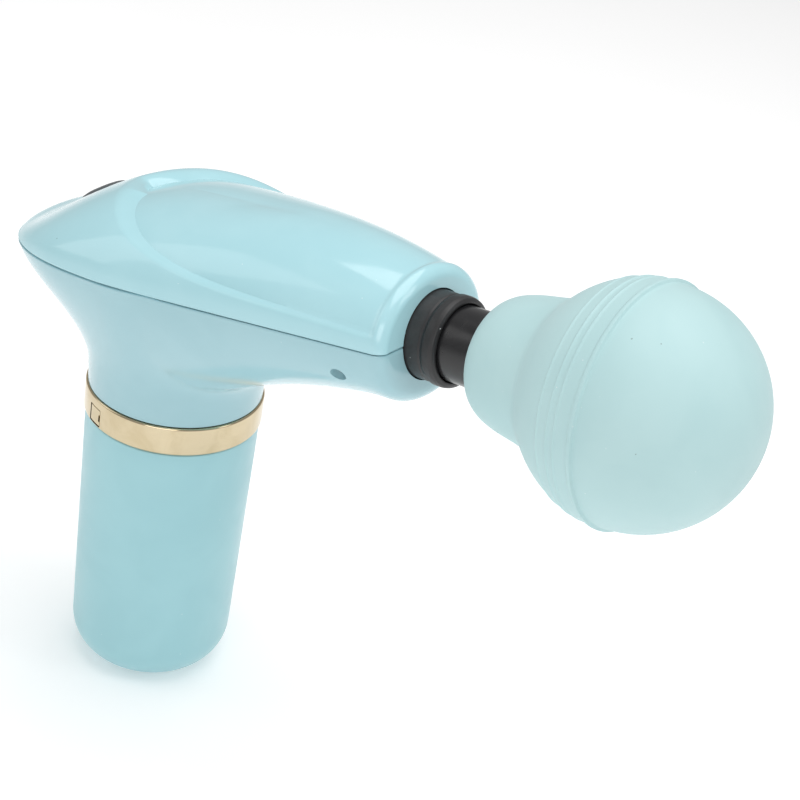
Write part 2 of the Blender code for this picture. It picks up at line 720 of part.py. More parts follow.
def motor():
    low = -33.6
    high = -11.9
    bore = MOTOR_R - 0.8
    can = [
        (bore, high), (MOTOR_R, high), (MOTOR_R, low + 0.8), (bore, low),
        (1.9, low), (1.9, low + 1.0), (bore, low + 1.0),
    ]
    turned("motor_can", "steel", can, BARREL_FRAME, steps=28)
    bell = turned("motor_end_bell", "aluminium", ring_profile(bore - GAP, 3.6, -14.0, -11.9, 0.0),
                  BARREL_FRAME, steps=24)
    turned("motor_bearing", "steel", ring_profile(3.3, 1.8, -13.9, -12.0, 0.0), BARREL_FRAME,
           steps=20)
    plate = box("motor_plate", "aluminium", (42.0, 36.0, 1.6), BARREL_FRAME, (0, 0, -10.7),
                bevel=0)
    hole = round_cutter("plate_hole", 5.0, -16.0, -6.0, BARREL_FRAME, steps=24)
    combine(plate, hole)
    shank = [(0.0, -8.9), (2.0, -8.9), (2.0, -9.6), (0.9, -9.6), (0.9, -13.4), (0.0, -13.4)]
    for i in range(3):
        a = math.radians(60.0 + 120.0 * i)
        at = ((bore - 2.245) * math.cos(a), (bore - 2.245) * math.sin(a), 0)
        drill = round_cutter("screw_hole_%d" % (i + 1), 1.3, -18.0, -7.0, BARREL_FRAME, at,
                             steps=10)
        combine(plate, drill)
        combine(bell, drill)
        turned("motor_screw_%d" % (i + 1), "steel", shank, BARREL_FRAME, at, steps=8)


def rotor():
    turned("motor_shaft", "steel", disc_profile(1.3, -32.9, -4.0, 0.0), MOTOR_FRAME, steps=16)
    turned("rotor_core", "copper", ring_profile(MOTOR_R - 1.5, 1.65, -30.0, -16.0, 0.0), MOTOR_FRAME,
           steps=28)
    weight = turned("crank_disc", "steel", ring_profile(9.0, 1.6, -8.0, -3.5, 0.0), MOTOR_FRAME,
                    steps=28)
    notch = box_cutter("balance_notch", (8.0, 10.0, 3.0), MOTOR_FRAME, (-8.6, 0, -7.6))
    combine(weight, notch)


def crank_pin():
    turned("crank_pin", "steel", disc_profile(1.5, -3.1, 2.6, 0.0), ROD_FRAME,
           (-ROD_LEN, 0, 0), steps=16)
    turned("crank_bearing", "steel", ring_profile(3.5, 1.8, -1.8, 1.8, 0.0), ROD_FRAME,
           (-ROD_LEN, 0, 0), steps=24)


def connecting_rod():
    ob = box("connecting_rod", "aluminium", (ROD_LEN - 5.0, 4.4, 3.2), ROD_FRAME, bevel=0)
    for v in ob.data.vertices:
        v.co.x -= ROD_LEN / 2.0 * MM
    big = round_cutter("rod_big_eye", 5.5, -2.0, 2.0, ROD_FRAME, (-ROD_LEN, 0, 0), steps=24)
    small = round_cutter("rod_small_eye", 3.6, -2.0, 2.0, ROD_FRAME, steps=20)
    combine(ob, big, "UNION")
    combine(ob, small, "UNION")
    seat = round_cutter("rod_big_bore", 3.8, -4.0, 4.0, ROD_FRAME, (-ROD_LEN, 0, 0), steps=24)
    pin = round_cutter("rod_small_bore", 1.8, -4.0, 4.0, ROD_FRAME, steps=16)
    combine(ob, seat)
    combine(ob, pin)


def piston():
    profile = [
        (0.0, 43.5), (PISTON_BORE, 43.5), (PISTON_BORE, PISTON_FRONT - 0.6),
        (PISTON_BORE + 0.6, PISTON_FRONT), (PISTON_R - 0.3, PISTON_FRONT),
        (PISTON_R, PISTON_FRONT - 0.3), (PISTON_R, 27.3), (PISTON_R - 0.3, 27.0), (0.0, 27.0),
    ]
    ob = turned("piston", "aluminium", profile, PISTON_FRAME, rot=ALONG, steps=28)
    fork = box_cutter("piston_fork", (12.0, 8.4, 11.0), PISTON_FRAME, (24.0, 0, 0))
    slot = box_cutter("fork_slot", (12.0, 12.0, 4.8), PISTON_FRAME, (20.6, 0, 0))
    pin = round_cutter("wrist_bore", 1.8, -8.0, 8.0, PISTON_FRAME, (WRIST_S, 0, 0), steps=16)
    combine(ob, fork, "UNION")
    combine(ob, slot)
    combine(ob, pin)
    turned("wrist_pin", "steel", disc_profile(1.5, -5.2, 5.2, 0.0), PISTON_FRAME,
           (WRIST_S, 0, 0), steps=16)


def guide():
    turned("guide_sleeve", "aluminium", ring_profile(GUIDE_R, GUIDE_BORE, 31.0, 68.6, 0.0),
           BARREL_FRAME, rot=ALONG, steps=32)
    turned("guide_bush_front", "bronze", ring_profile(BUSH_R, BUSH_BORE, 54.0, 66.0, 0.0),
           BARREL_FRAME, rot=ALONG, steps=32)
    turned("guide_bush_rear", "bronze", ring_profile(BUSH_R, BUSH_BORE, 34.0, 44.0, 0.0),
           BARREL_FRAME, rot=ALONG, steps=32)


# ---------------------------------------------------------------------------
# push-in head

def head_stem():
    groove = PLUG_R - 1.1
    profile = [
        (0.0, 99.5), (STEM_R - 0.4, 99.5), (STEM_R, 99.1),
        (STEM_R, PISTON_FRONT + 0.8), (STEM_R - 0.4, PISTON_FRONT + 0.4),
        (PLUG_R, PISTON_FRONT + 0.4),
        (PLUG_R, 58.2), (groove, 58.2), (groove, 56.4), (PLUG_R, 56.4),
        (PLUG_R, 50.2), (groove, 50.2), (groove, 48.4), (PLUG_R, 48.4),
        (PLUG_R, PLUG_END + 0.8), (PLUG_R - 0.8, PLUG_END), (0.0, PLUG_END),
    ]
    turned("head_stem", "black_nylon", profile, HEAD_FRAME, rot=ALONG, steps=24)
    for name, s in (("stem_o_ring_front", 57.3), ("stem_o_ring_rear", 49.3)):
        turned(name, "black_rubber", arc(PLUG_R - 0.4, s, 0.6, 90.0, -198.0, 5), HEAD_FRAME,
               rot=ALONG, steps=20)


def ball_outer(count_front, count_back):
    """Outer profile of the ball head, from its front pole back to the neck's edge."""
    front = arc(0.0, BALL_S, BALL_R, 90.0, 2.0, count_front)
    ridge = [(BALL_R + 0.75, BALL_S + 0.3), (BALL_R + 0.4, BALL_S - 0.7)]
    a_end = -math.degrees(math.acos(18.6 / BALL_BACK_R))
    back = arc(0.0, BALL_S, BALL_BACK_R, -4.0, a_end, count_back)
    kink = back[-1]
    neck = [
        (17.0, kink[1] - 2.4), (15.7, 101.5), (14.5, 97.4), (13.0, 94.4), (10.6, HEAD_REAR),
    ]
    return front + ridge + back + neck


def ball_head():
    outer = ball_outer(8, 5)
    pocket = BALL_R - BALL_WALL
    bore = STEM_R + GAP
    inner = [(bore + 0.55, HEAD_REAR), (bore, HEAD_REAR + 0.6), (bore, 96.0), (11.0, 101.0)]
    inner += arc(0.0, BALL_S, pocket, -58.0, 90.0, 7)
    inner[-1] = (0.0, BALL_S + pocket)
    outer[0] = (0.0, BALL_S + BALL_R)
    turned("ball_head", "mint_silicone", outer + inner, HEAD_FRAME, rot=ALONG, steps=40)
    core_r = pocket - 0.4
    core = arc(0.0, BALL_S, core_r, 90.0, -58.0, 7)
    core[0] = (0.0, BALL_S + core_r)
    core += [(10.2, 102.2), (8.4, 100.2), (0.0, 100.2)]
    turned("ball_core", "stiff_pu", core, HEAD_FRAME, rot=ALONG, steps=40)


def build():
    upper_shell()
    lower_shell()
    belly_screws()
    handle_shell()
    base_plug()
    neck_sleeve()
    trim_ring()
    trim_ring_clip()
    nose_collar()
    power_button()
    button_board()
    tact_switch()
    battery()
    usb_socket()
    motor()
    rotor()
    crank_pin()
    connecting_rod()
    piston()
    guide()
    head_stem()
    ball_head()
    bpy.context.view_layer.update()
    for ob in PARTS.objects:
        if ob.type == "MESH":
            smooth(ob)


build()
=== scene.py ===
"""Looks of the handheld massage gun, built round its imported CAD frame.

Lengths are in millimetres until a mesh is placed. s runs along the barrel towards the ball,
t is square to it and up, and y is across; z runs up the handle from its flat base.
"""

import json
import math

import bmesh
import bpy
import numpy as np
from mathutils import Matrix, Vector

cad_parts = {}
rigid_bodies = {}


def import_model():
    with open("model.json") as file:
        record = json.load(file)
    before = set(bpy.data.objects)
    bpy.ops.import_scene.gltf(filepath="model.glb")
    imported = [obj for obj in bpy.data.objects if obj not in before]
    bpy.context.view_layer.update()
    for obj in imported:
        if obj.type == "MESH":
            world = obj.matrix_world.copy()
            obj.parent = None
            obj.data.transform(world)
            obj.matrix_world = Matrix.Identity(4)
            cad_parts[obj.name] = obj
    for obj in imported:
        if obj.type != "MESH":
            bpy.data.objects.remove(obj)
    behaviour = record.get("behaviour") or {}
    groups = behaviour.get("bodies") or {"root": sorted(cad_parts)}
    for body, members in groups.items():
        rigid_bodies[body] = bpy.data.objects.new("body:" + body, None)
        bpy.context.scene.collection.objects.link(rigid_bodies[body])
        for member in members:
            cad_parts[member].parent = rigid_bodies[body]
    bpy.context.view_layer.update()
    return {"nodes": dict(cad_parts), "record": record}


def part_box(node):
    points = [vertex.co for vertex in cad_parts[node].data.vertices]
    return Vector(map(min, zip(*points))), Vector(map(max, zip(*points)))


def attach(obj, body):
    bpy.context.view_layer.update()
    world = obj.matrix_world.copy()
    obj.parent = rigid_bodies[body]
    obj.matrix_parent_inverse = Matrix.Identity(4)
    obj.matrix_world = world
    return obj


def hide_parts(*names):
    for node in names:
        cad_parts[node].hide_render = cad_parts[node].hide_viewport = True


for leftover in list(bpy.data.objects):
    bpy.data.objects.remove(leftover, do_unlink=True)

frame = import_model()

MM = 0.001
GAP = 0.3                  # clearance between touching pieces


def low(node, axis):
    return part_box(node)[0][axis] / MM


def high(node, axis):
    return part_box(node)[1][axis] / MM


# handle and trim ring, from the frame's own boxes
BASE_R = 20.9              # handle radius above the rounded base
TOP_R = 21.95              # handle radius under the trim ring
BASE_FILLET = 11.23
HANDLE_WALL = 1.6
BASE_PLUG_R = high("base_plug", 0) - 1.2
HANDLE_LEN = low("trim_ring", 2)
RING_TOP = high("trim_ring", 2)
RING_R = high("trim_ring", 1)
RING_BORE = 19.95

# barrel
TILT = math.radians(9.12)  # rise of the barrel axis towards the head
AXIS_Z = RING_TOP + 37.3   # height where the barrel axis crosses the handle axis
NOSE = 75.5                # flat nose face, along the barrel axis
REAR = 45.0                # rear tip of the barrel
WIDEST = -3.0              # station of the greatest width
HALF_W = 30.4              # greatest half width at the seam
NOSE_FILLET = 2.4          # the real edge, tighter than the frame's
BELLY_FILLET = 3.6
CROWN = 20.2               # height of the upper shell over the seam
SHELL_WALL = 2.0
RECESS = 1.7               # depth of the inset panel behind its lip
REAR_STEP = 1.6            # how much deeper the panel sits at its rear end
LIP_REAR = -18.0           # where the lip crosses the centre line
NECK_R = 22.0
COLLAR_R = 10.3
NOSE_BORE = COLLAR_R + GAP
NOSE_RIM = 0.4             # least flat rim round the bore
SEAM_EASE = 0.3            # rounding of the shells' edges along the seam

# how the barrel's width, crown and belly run
REAR_POWER = 2.7           # squareness of the rear end in plan
TAPER = 0.175              # half width lost per mm towards the nose
TAPER_EASE = 8.3           # length over which the taper sets in
CROWN_S = 34.0             # station where the crown is highest
CROWN_POWER = 4.0          # fullness of the crown behind that station
CROWN_EASE = 1.6           # how slowly it leaves the rear tip
CROWN_DROP = 0.0031        # drop towards the nose, per mm squared
TAIL_LIFT = 6.0            # bluntness of the rear tip
TAIL_RUN = 3.0             # length over which the blunt tip fades
BELLY_S = 67.5             # station behind which the belly deepens
BELLY_NOSE = 16.1          # depth of the belly at the nose
BELLY_SLOPE = 0.105
BELLY_CURVE = 0.0038       # per mm squared
BELLY_END = 25.0           # station behind which the belly fades into the neck
BELLY_FADE = 60.0          # length of that fade
BELLY_REAR = -20.0         # the belly is gone behind this station
BELLY_SCALE = 16.0         # turns the belly's relative field into about millimetres
OUTSIDE = 20.0             # field value well clear of the skin

# lip and inset panel; section angles are in degrees, 90 at the crown
LIP_FOOT = 11.0            # section angle where the lip leaves the nose
LIP_START = 11.05          # first section angle at which the lip is traced
LIP_RUN = 20.5             # how far forward the lip's arms sweep
LIP_POWER = 1.15
LIP_TURN = 3.0             # radius of the lip's rear bend
LIP_FALL = 5.2             # section angle that the step down to the panel takes
LIP_SHARE = 0.24           # most of the panel that the step may take
RECESS_NOSE = 0.6          # depth of the panel at the nose
PANEL_CLOSE = 4.0          # station where the panel's rear rows close on the centre line

# neck flare, heights over the ring
FLARE_FRONT = 26.0         # how far the flare reaches ahead of the handle axis
FLARE_START = 6.0
FLARE_EASE = 4.0           # how far short of the seam's height the rise is measured
FOOT_STEP = 0.5            # swelling of the neck just over the ring
FOOT_HEIGHT = 9.0
BLEND = 2.4                # width of the blend between belly and flare

# accuracy of the solved outlines and the merging of equal points
OUTLINE_HALVINGS = 40
SKIN_HALVINGS = 44
GRID_MERGE = 0.002
MIRROR_MERGE = 0.01
TURNED_MERGE = 1e-4
ON_AXIS = 1e-6             # a radius under this lies on the axis

# head
PLUG_R = 7.3
PLUG_END = 45.0
GROOVE_DEPTH = 1.1
GROOVES = ((58.2, 56.4), (50.2, 48.4))      # front and back station of each ring's groove
STEM_END = 99.5            # front end of the stem, inside the ball
STEM_R = 8.75
PISTON_FRONT = 62.0
BALL_R = 26.35
BALL_BACK_R = BALL_R + 0.3
BALL_S = 130.4
BALL_WALL = 4.5
HEAD_REAR = 92.6

# button, side screws and charging socket
BUTTON_S = -30.0
BUTTON_R = 6.5
SCREW_S = 63.2
SCREW_ANGLE = math.radians(28.0)
BOSS_R = 3.0               # boss inside the wall that the screw bites in
SINK_R = 1.9               # recess over the screw's head
SINK_FLOOR = -2.6
HOLE_R = 1.1
USB_Z = RING_TOP + 8.0
USB_X = -18.9              # middle of the socket's body
USB_SIZE = (7.0, 9.0, 3.2)
USB_SLOT = (9.0, 9.8, 3.8)  # opening in the lower shell
USB_SLOT_X = -22.0
CLIP_AZ = math.radians(-105.0)
CLIP_Z = RING_TOP - 4.75
CLIP_SIDE = 4.3            # the catch is square

HANDLE = Matrix.Scale(MM, 4)
BARREL = (Matrix.Translation((0.0, 0.0, AXIS_Z * MM))
          @ Matrix.Rotation(-TILT, 4, "Y") @ Matrix.Scale(MM, 4))
ALONG = BARREL @ Matrix.Rotation(math.radians(90.0), 4, "Y")   # local Z along the barrel
SMOOTH_ANGLE = math.radians(32.0)


# ---------------------------------------------------------------------------
# barrel sections: half width, crown and belly at each station along the barrel

def smoothstep(v):
    v = np.clip(v, 0.0, 1.0)
    return v * v * (3.0 - 2.0 * v)


def nose_shrink(s, inset, radius=NOSE_FILLET):
    """How far the section draws in where it rounds into the nose face."""
    fillet = max(radius - inset, 1.0)
    start = NOSE - inset - fillet
    over = np.clip(s - start, 0.0, fillet)
    return fillet - np.sqrt(fillet ** 2 - over ** 2)


def half_width(s, inset=0.0):
    s = np.asarray(s, float)
    u = np.clip((WIDEST - s) / (REAR + WIDEST - inset), 0.0, 1.0)
    rear = (HALF_W - inset) * (1.0 - u ** REAR_POWER) ** (1.0 / REAR_POWER)
    taper = TAPER * (np.sqrt((s - WIDEST) ** 2 + TAPER_EASE ** 2) - TAPER_EASE)
    front = HALF_W - inset - taper - nose_shrink(s, inset)
    return np.where(s < WIDEST, rear, front)


def crown_height(s, inset=0.0):
    s = np.asarray(s, float)
    u = np.clip((CROWN_S - s) / (CROWN_S + REAR), 0.0, 1.0)
    rise = CROWN * (1.0 - u ** CROWN_POWER) ** CROWN_EASE
    drop = CROWN_DROP * np.clip(s - CROWN_S, 0.0, None) ** 2
    base = np.clip(rise - drop - inset, 0.0, None)
    e = np.clip(s + REAR - inset, 0.0, None)
    tail = TAIL_LIFT * e * np.exp(-e / TAIL_RUN)
    return np.sqrt(base ** 2 + tail) - nose_shrink(s, inset)


def belly_depth(s, inset=0.0):
    s = np.asarray(s, float)
    d = np.clip(BELLY_S - s, 0.0, None)
    depth = BELLY_NOSE + BELLY_SLOPE * d + BELLY_CURVE * d * d
    return depth - inset - nose_shrink(s, inset, BELLY_FILLET)


def lip_station(psi):
    """Station where the lip of the inset panel stands at section angle psi."""
    frac = np.clip((psi - LIP_FOOT) / (90.0 - LIP_FOOT), 1e-4, 1.0)
    run = LIP_RUN * (-np.log(frac)) ** (1.0 / LIP_POWER)
    return LIP_REAR + np.sqrt(run * run + LIP_TURN ** 2) - LIP_TURN


def resample(points, fractions):
    """Points at the given fractions of a polyline's length."""
    step = np.linalg.norm(np.diff(points, axis=0), axis=1)
    dist = np.concatenate([[0.0], np.cumsum(step)])
    want = np.asarray(fractions) * dist[-1]
    cols = [np.interp(want, dist, points[:, k]) for k in range(points.shape[1])]
    return np.stack(cols, 1)


def plan_curves(columns, inset):
    """Seam outline, lip and crown line in plan, from the nose round to the rear."""
    start = NOSE - NOSE_FILLET
    rear = -(REAR - inset)
    k = np.linspace(0.0, 1.0, 600)
    s = rear + (start - rear) * (1.0 - np.sin(k * math.pi / 2.0))
    outline = np.stack([s, half_width(s, inset)], 1)
    psi = LIP_START + (90.0 - LIP_START) * np.linspace(0.0, 1.0, 900) ** 2
    s_lip = np.minimum(lip_station(psi), start)
    keep = s_lip < start
    foot = half_width(start, inset) * math.cos(math.radians(LIP_FOOT))
    first = np.array([[start, foot]])
    wide = half_width(s_lip[keep], inset) * np.cos(np.radians(psi[keep]))
    lip = np.concatenate([first, np.stack([s_lip[keep], wide], 1)])
    lip[-1, 1] = 0.0
    frac = np.linspace(0.0, 1.0, columns)
    crown = np.stack([start + (PANEL_CLOSE - start) * frac, np.zeros(columns)], 1)
    return resample(outline, frac), resample(lip, frac), crown


def section_point(s, y, inset):
    """Height of the crown's elliptical section at a distance y from the centre line."""
    w = np.maximum(half_width(s, inset), 1e-6)
    c = crown_height(s, inset)
    return c * np.sqrt(np.clip(1.0 - (y / w) ** 2, 0.0, 1.0))


def upper_grid(columns, hood_rows, panel_rows, lip_steps, inset):
    """Grid of (s, y, t) points of one half of the upper shell's skin."""
    outline, lip, crown = plan_curves(columns, inset)
    rows = []
    for i in range(hood_rows + 1):
        x = i / hood_rows
        plan = outline + (lip - outline) * x * x
        rows.append((plan, 0.0))
    w_lip = np.maximum(half_width(lip[:, 0], inset), 1e-6)
    psi = np.degrees(np.arccos(np.clip(lip[:, 1] / w_lip, 0.0, 1.0)))
    span = np.maximum(90.0 - psi, 0.5)
    first = np.minimum(LIP_FALL / span, LIP_SHARE)
    for i in range(1, lip_steps + panel_rows + 1):
        if i <= lip_steps:
            x = first * i / lip_steps
            sink = 1.0 - math.cos(math.pi / 2.0 * i / lip_steps)
        else:
            x = first + (1.0 - first) * (i - lip_steps) / panel_rows
            sink = 1.0
        edge = np.cos(np.radians(90.0 - span))
        g = 1.0 - np.cos(np.radians(90.0 - span * (1.0 - x))) / edge
        plan = lip + (crown - lip) * g[:, None]
        rows.append((plan, sink))
    depth = RECESS_NOSE + (RECESS - RECESS_NOSE) * smoothstep((66.0 - lip[:, 0]) / 60.0)
    depth = depth + REAR_STEP * smoothstep((24.0 - lip[:, 0]) / 26.0) * np.sin(np.radians(psi))
    grid = []
    for plan, sink in rows:
        s = plan[:, 0]
        y = plan[:, 1]
        t = section_point(s, y, inset)
        front = smoothstep((NOSE - NOSE_FILLET - 0.1 - s) / 1.3)
        reach = np.maximum(np.hypot(y, t), 1.0)
        scale = 1.0 - sink * depth * front / reach
        grid.append(np.stack([s, y * scale, t * scale], 1))
    return np.array(grid)


def fillet_end(psi, begin, fillet, least):
    """How far round the nose fillet a row goes before it meets the bore's rim."""
    turn = np.linspace(0.0, math.pi / 2.0, 91)
    sk = begin + fillet * np.sin(turn)
    inset = NOSE - begin - fillet
    wide = half_width(sk, inset) * math.cos(psi)
    tall = crown_height(sk, inset) * math.sin(psi)
    return float(np.interp(-least, -np.hypot(wide, tall), turn))


def add_nose(grid, inset, stations, bore):
    """Carries every row round the nose fillet and in to the bore.

    The bore's corners stand out far enough for its flats to clear the radius asked for.
    """
    start = NOSE - NOSE_FILLET
    w0 = float(half_width(start, inset))
    c0 = float(crown_height(start, inset))
    fillet = max(NOSE_FILLET - inset, 1.0)
    begin = NOSE - inset - fillet
    angles = np.arctan2(grid[:, 0, 2] / c0, grid[:, 0, 1] / w0)
    bore = bore / math.cos(0.5 * float(np.max(np.diff(angles))))
    out = []
    for row, psi in zip(grid, angles):
        lead = []
        end = fillet_end(psi, begin, fillet, bore + NOSE_RIM)
        for i in range(1, stations + 1):
            sk = begin + fillet * math.sin(i / stations * end)
            wk = float(half_width(sk, inset))
            ck = float(crown_height(sk, inset))
            lead.append([sk, wk * math.cos(psi), ck * math.sin(psi)])
        lead.append([sk, bore * math.cos(psi), bore * math.sin(psi)])
        out.append(np.concatenate([np.array(lead[::-1]), row]))
    return np.array(out)


def upper_skin(inset, columns, hood_rows, panel_rows, lip_steps, stations, bore):
    """Grid of one half of the upper shell's skin, from the bore's rim and the seam inwards."""
    grid = upper_grid(columns, hood_rows, panel_rows, lip_steps, inset)
    grid = add_nose(grid, inset, stations, bore)
    grid[0, :, 2] = GAP / 2.0
    grid[:, :, 2] = np.maximum(grid[:, :, 2], GAP / 2.0)
    grid[-1, :, 1] = 0.0
    grid[:, -1, 1] = 0.0
    return grid


def smooth_min(a, b, k):
    """The lesser of two fields, blended over a width k where they meet."""
    h = np.clip(0.5 + 0.5 * (b - a) / k, 0.0, 1.0)
    return b + (a - b) * h - k * h * (1.0 - h)


def flare_radius(az, z, inset):
    """Neck radius about the handle axis, opening from the ring up to the seam."""
    c = np.cos(az)
    ahead = FLARE_FRONT + (HALF_W - FLARE_FRONT) * np.sin(az) ** 2
    reach = np.where(c > 0.0, ahead, outline_radius(az))
    seam = AXIS_Z - RING_TOP + reach * c * math.tan(TILT)
    span = seam - FLARE_EASE
    rise = smoothstep((z - FLARE_START) / span) / smoothstep((seam - FLARE_START) / span)
    foot = FOOT_STEP * smoothstep(z / FOOT_HEIGHT)
    return NECK_R - inset + foot + (reach - NECK_R - foot) * rise


def solved_outline(az):
    """Distance from the handle axis to the seam outline, rear half."""
    lo = np.zeros_like(az)
    hi = np.full_like(az, 60.0)
    for _ in range(OUTLINE_HALVINGS):
        mid = 0.5 * (lo + hi)
        s = mid * np.cos(az) / math.cos(TILT)
        inside = (np.abs(mid * np.sin(az)) < half_width(s)) & (s > -REAR)
        lo = np.where(inside, mid, lo)
        hi = np.where(inside, hi, mid)
    return 0.5 * (lo + hi)


OUTLINE_AZ = np.linspace(-0.1, math.pi + 0.1, 1201)
OUTLINE_R = solved_outline(OUTLINE_AZ)


def outline_radius(az):
    """Distance to the seam outline, read between directions that were solved once."""
    return np.interp(az, OUTLINE_AZ, OUTLINE_R)


def lower_field(x, y, z, inset):
    """Negative inside the lower housing; z is measured from the ring's top."""
    h = z - (AXIS_Z - RING_TOP)
    s = x * math.cos(TILT) + h * math.sin(TILT)
    t = -x * math.sin(TILT) + h * math.cos(TILT)
    w = np.maximum(half_width(s, inset), 0.5)
    b = np.maximum(belly_depth(s, inset), 0.5)
    behind = np.clip(BELLY_END - s, 0.0, None) / BELLY_FADE
    fade = np.sqrt(np.clip(1.0 - behind ** 2, 0.02, 1.0))
    belly = (np.sqrt((y / (w * fade)) ** 2 + (t / (b * fade)) ** 2) - 1.0) * BELLY_SCALE
    belly = np.where((s > NOSE - inset) | (s < BELLY_REAR), OUTSIDE, belly)
    az = np.arctan2(np.abs(y), x)
    flare = np.hypot(x, y) - flare_radius(az, z, inset)
    return smooth_min(belly, flare, BLEND)


def lower_point(az, elev, inset):
    """Distance from the barrel centre to the skin along a direction."""
    cx = np.cos(az) * np.cos(elev)
    cy = np.sin(az) * np.cos(elev)
    cz = np.sin(elev)
    lo = np.full_like(cx, 5.0)
    hi = np.full_like(cx, 110.0)
    z0 = AXIS_Z - RING_TOP
    for _ in range(SKIN_HALVINGS):
        mid = 0.5 * (lo + hi)
        inside = lower_field(cx * mid, cy * mid, z0 + cz * mid, inset) < 0.0
        lo = np.where(inside, mid, lo)
        hi = np.where(inside, hi, mid)
    mid = 0.5 * (lo + hi)
    return np.stack([cx * mid, cy * mid, z0 + cz * mid], -1)


def lower_columns(count):
    """Azimuths of the columns, closer together round the nose corners."""
    k = np.linspace(0.0, 1.0, count)
    return math.pi * (0.42 * k + 0.58 * k ** 2.2)


def lower_skin(inset, columns, rows):
    """Grid of one half of the lower shell's skin, seam first, ring last."""
    grid = []
    z0 = AXIS_Z - RING_TOP
    lift = GAP / 2.0 / math.cos(TILT)
    for az in lower_columns(columns):
        top = math.atan(math.tan(TILT) * math.cos(az)) - 0.002    # just under the seam
        end = -math.atan2(z0 - GAP, NECK_R - inset)
        fine = np.linspace(top, end, 240)
        track = lower_point(np.full_like(fine, az), fine, inset)
        flat = np.stack([np.hypot(track[:, 0], track[:, 1]), track[:, 2], fine], 1)
        step = np.hypot(np.diff(flat[:, 0]), np.diff(flat[:, 1]))
        dist = np.concatenate([[0.0], np.cumsum(step)])
        want = np.linspace(0.0, dist[-1], rows)
        elev = np.interp(want, dist, fine)
        column = lower_point(np.full_like(elev, az), elev, inset)
        seam = z0 + column[0, 0] * math.tan(TILT) - lift
        column[0, 2] = seam
        radius = NECK_R - inset
        column[-1] = [radius * math.cos(az), radius * math.sin(az), GAP]
        grid.append(column)
    grid = np.array(grid).transpose(1, 0, 2)
    grid[:, 0, 1] = 0.0
    grid[:, -1, 1] = 0.0
    return grid


def shell_from_grids(name, outer, inner, open_first_column):
    """Closed half shell between two matching grids, open only on the mirror plane."""
    rows, cols = outer.shape[:2]
    verts = [tuple(p) for p in outer.reshape(-1, 3)]
    verts += [tuple(p) for p in inner.reshape(-1, 3)]
    base = rows * cols
    faces = []
    for i in range(rows - 1):
        for j in range(cols - 1):
            a, b = i * cols + j, i * cols + j + 1
            c, d = b + cols, a + cols
            faces.append((a, b, c, d))
            faces.append((base + a, base + d, base + c, base + b))
    for j in range(cols - 1):
        faces.append((j, base + j, base + j + 1, j + 1))
    if open_first_column:
        for i in range(rows - 1):
            a, d = i * cols, (i + 1) * cols
            faces.append((a, d, base + d, base + a))
    else:
        last = (rows - 1) * cols
        for j in range(cols - 1):
            a = last + j
            faces.append((a, a + 1, base + a + 1, base + a))
    mesh = bpy.data.meshes.new(name)
    mesh.from_pydata(verts, [], faces)
    bm = bmesh.new()
    bm.from_mesh(mesh)
    bmesh.ops.remove_doubles(bm, verts=bm.verts, dist=GRID_MERGE)
    bmesh.ops.recalc_face_normals(bm, faces=bm.faces)
    bm.to_mesh(mesh)
    bm.free()
    return mesh


def mirror_y(ob):
    """Adds the other half of a shell."""
    mod = ob.modifiers.new("halves", "MIRROR")
    mod.use_axis = (False, True, False)
    mod.use_clip = True
    mod.merge_threshold = MIRROR_MERGE


# ---------------------------------------------------------------------------
# mesh helpers

def eased_rows(grid, pull):
    """Repeats a grid's first row twice, its edge drawn in, so that the seam is rounded."""
    seam = grid[0].copy()
    rise = np.sign(grid[1:3, :, 2].mean() - seam[:, 2].mean())
    reach = np.maximum(np.hypot(seam[:, 0], seam[:, 1]), 1.0)
    rows = []
    for draw, lift in ((1.0, 0.0), (0.3, 0.35), (0.0, 1.0)):
        scale = 1.0 - pull * SEAM_EASE * draw / reach
        row = seam.copy()
        row[:, 0] *= scale
        row[:, 1] *= scale
        row[:, 2] += rise * SEAM_EASE * lift
        rows.append(row)
    return np.concatenate([np.array(rows), grid[1:]])


def placed(mesh, matrix):
    """Puts a finished mesh where it belongs, smooth but for its sharp edges."""
    mesh.transform(matrix)
    mesh.shade_smooth()
    mesh.set_sharp_from_angle(angle=SMOOTH_ANGLE)
    mesh.update()
    return mesh


def applied(ob):
    """Turns an object's modifiers into its mesh."""
    bpy.context.view_layer.update()
    graph = bpy.context.evaluated_depsgraph_get()
    mesh = bpy.data.meshes.new_from_object(ob.evaluated_get(graph))
    ob.modifiers.clear()
    ob.data = mesh


def faced_out(mesh):
    """Turns every face of a closed mesh outwards."""
    bm = bmesh.new()
    bm.from_mesh(mesh)
    bmesh.ops.recalc_face_normals(bm, faces=bm.faces)
    if bm.calc_volume(signed=True) < 0.0:
        bmesh.ops.reverse_faces(bm, faces=bm.faces)
    bm.to_mesh(mesh)
    bm.free()


def linked(name, mesh):
    ob = bpy.data.objects.new(name, mesh)
    bpy.context.scene.collection.objects.link(ob)
    return ob


def filleted(points, radius, steps=4, closed=False):
    """The same outline with every corner rounded."""
    out = []
    last = len(points) - 1
    for i, point in enumerate(points):
        if not closed and i in (0, last):
            out.append(tuple(point))
            continue
        p = Vector(point)
        back = Vector(points[i - 1]) - p
        ahead = Vector(points[(i + 1) % len(points)]) - p
        half = 0.5 * back.angle(ahead)
        cut = radius / max(math.tan(half), 0.05)
        cut = min(cut, 0.45 * back.length, 0.45 * ahead.length)
        start = p + back.normalized() * cut
        end = p + ahead.normalized() * cut
        for k in range(steps + 1):
            f = k / steps
            out.append(tuple(start * (1 - f) ** 2 + p * 2 * f * (1 - f) + end * f * f))
    return out


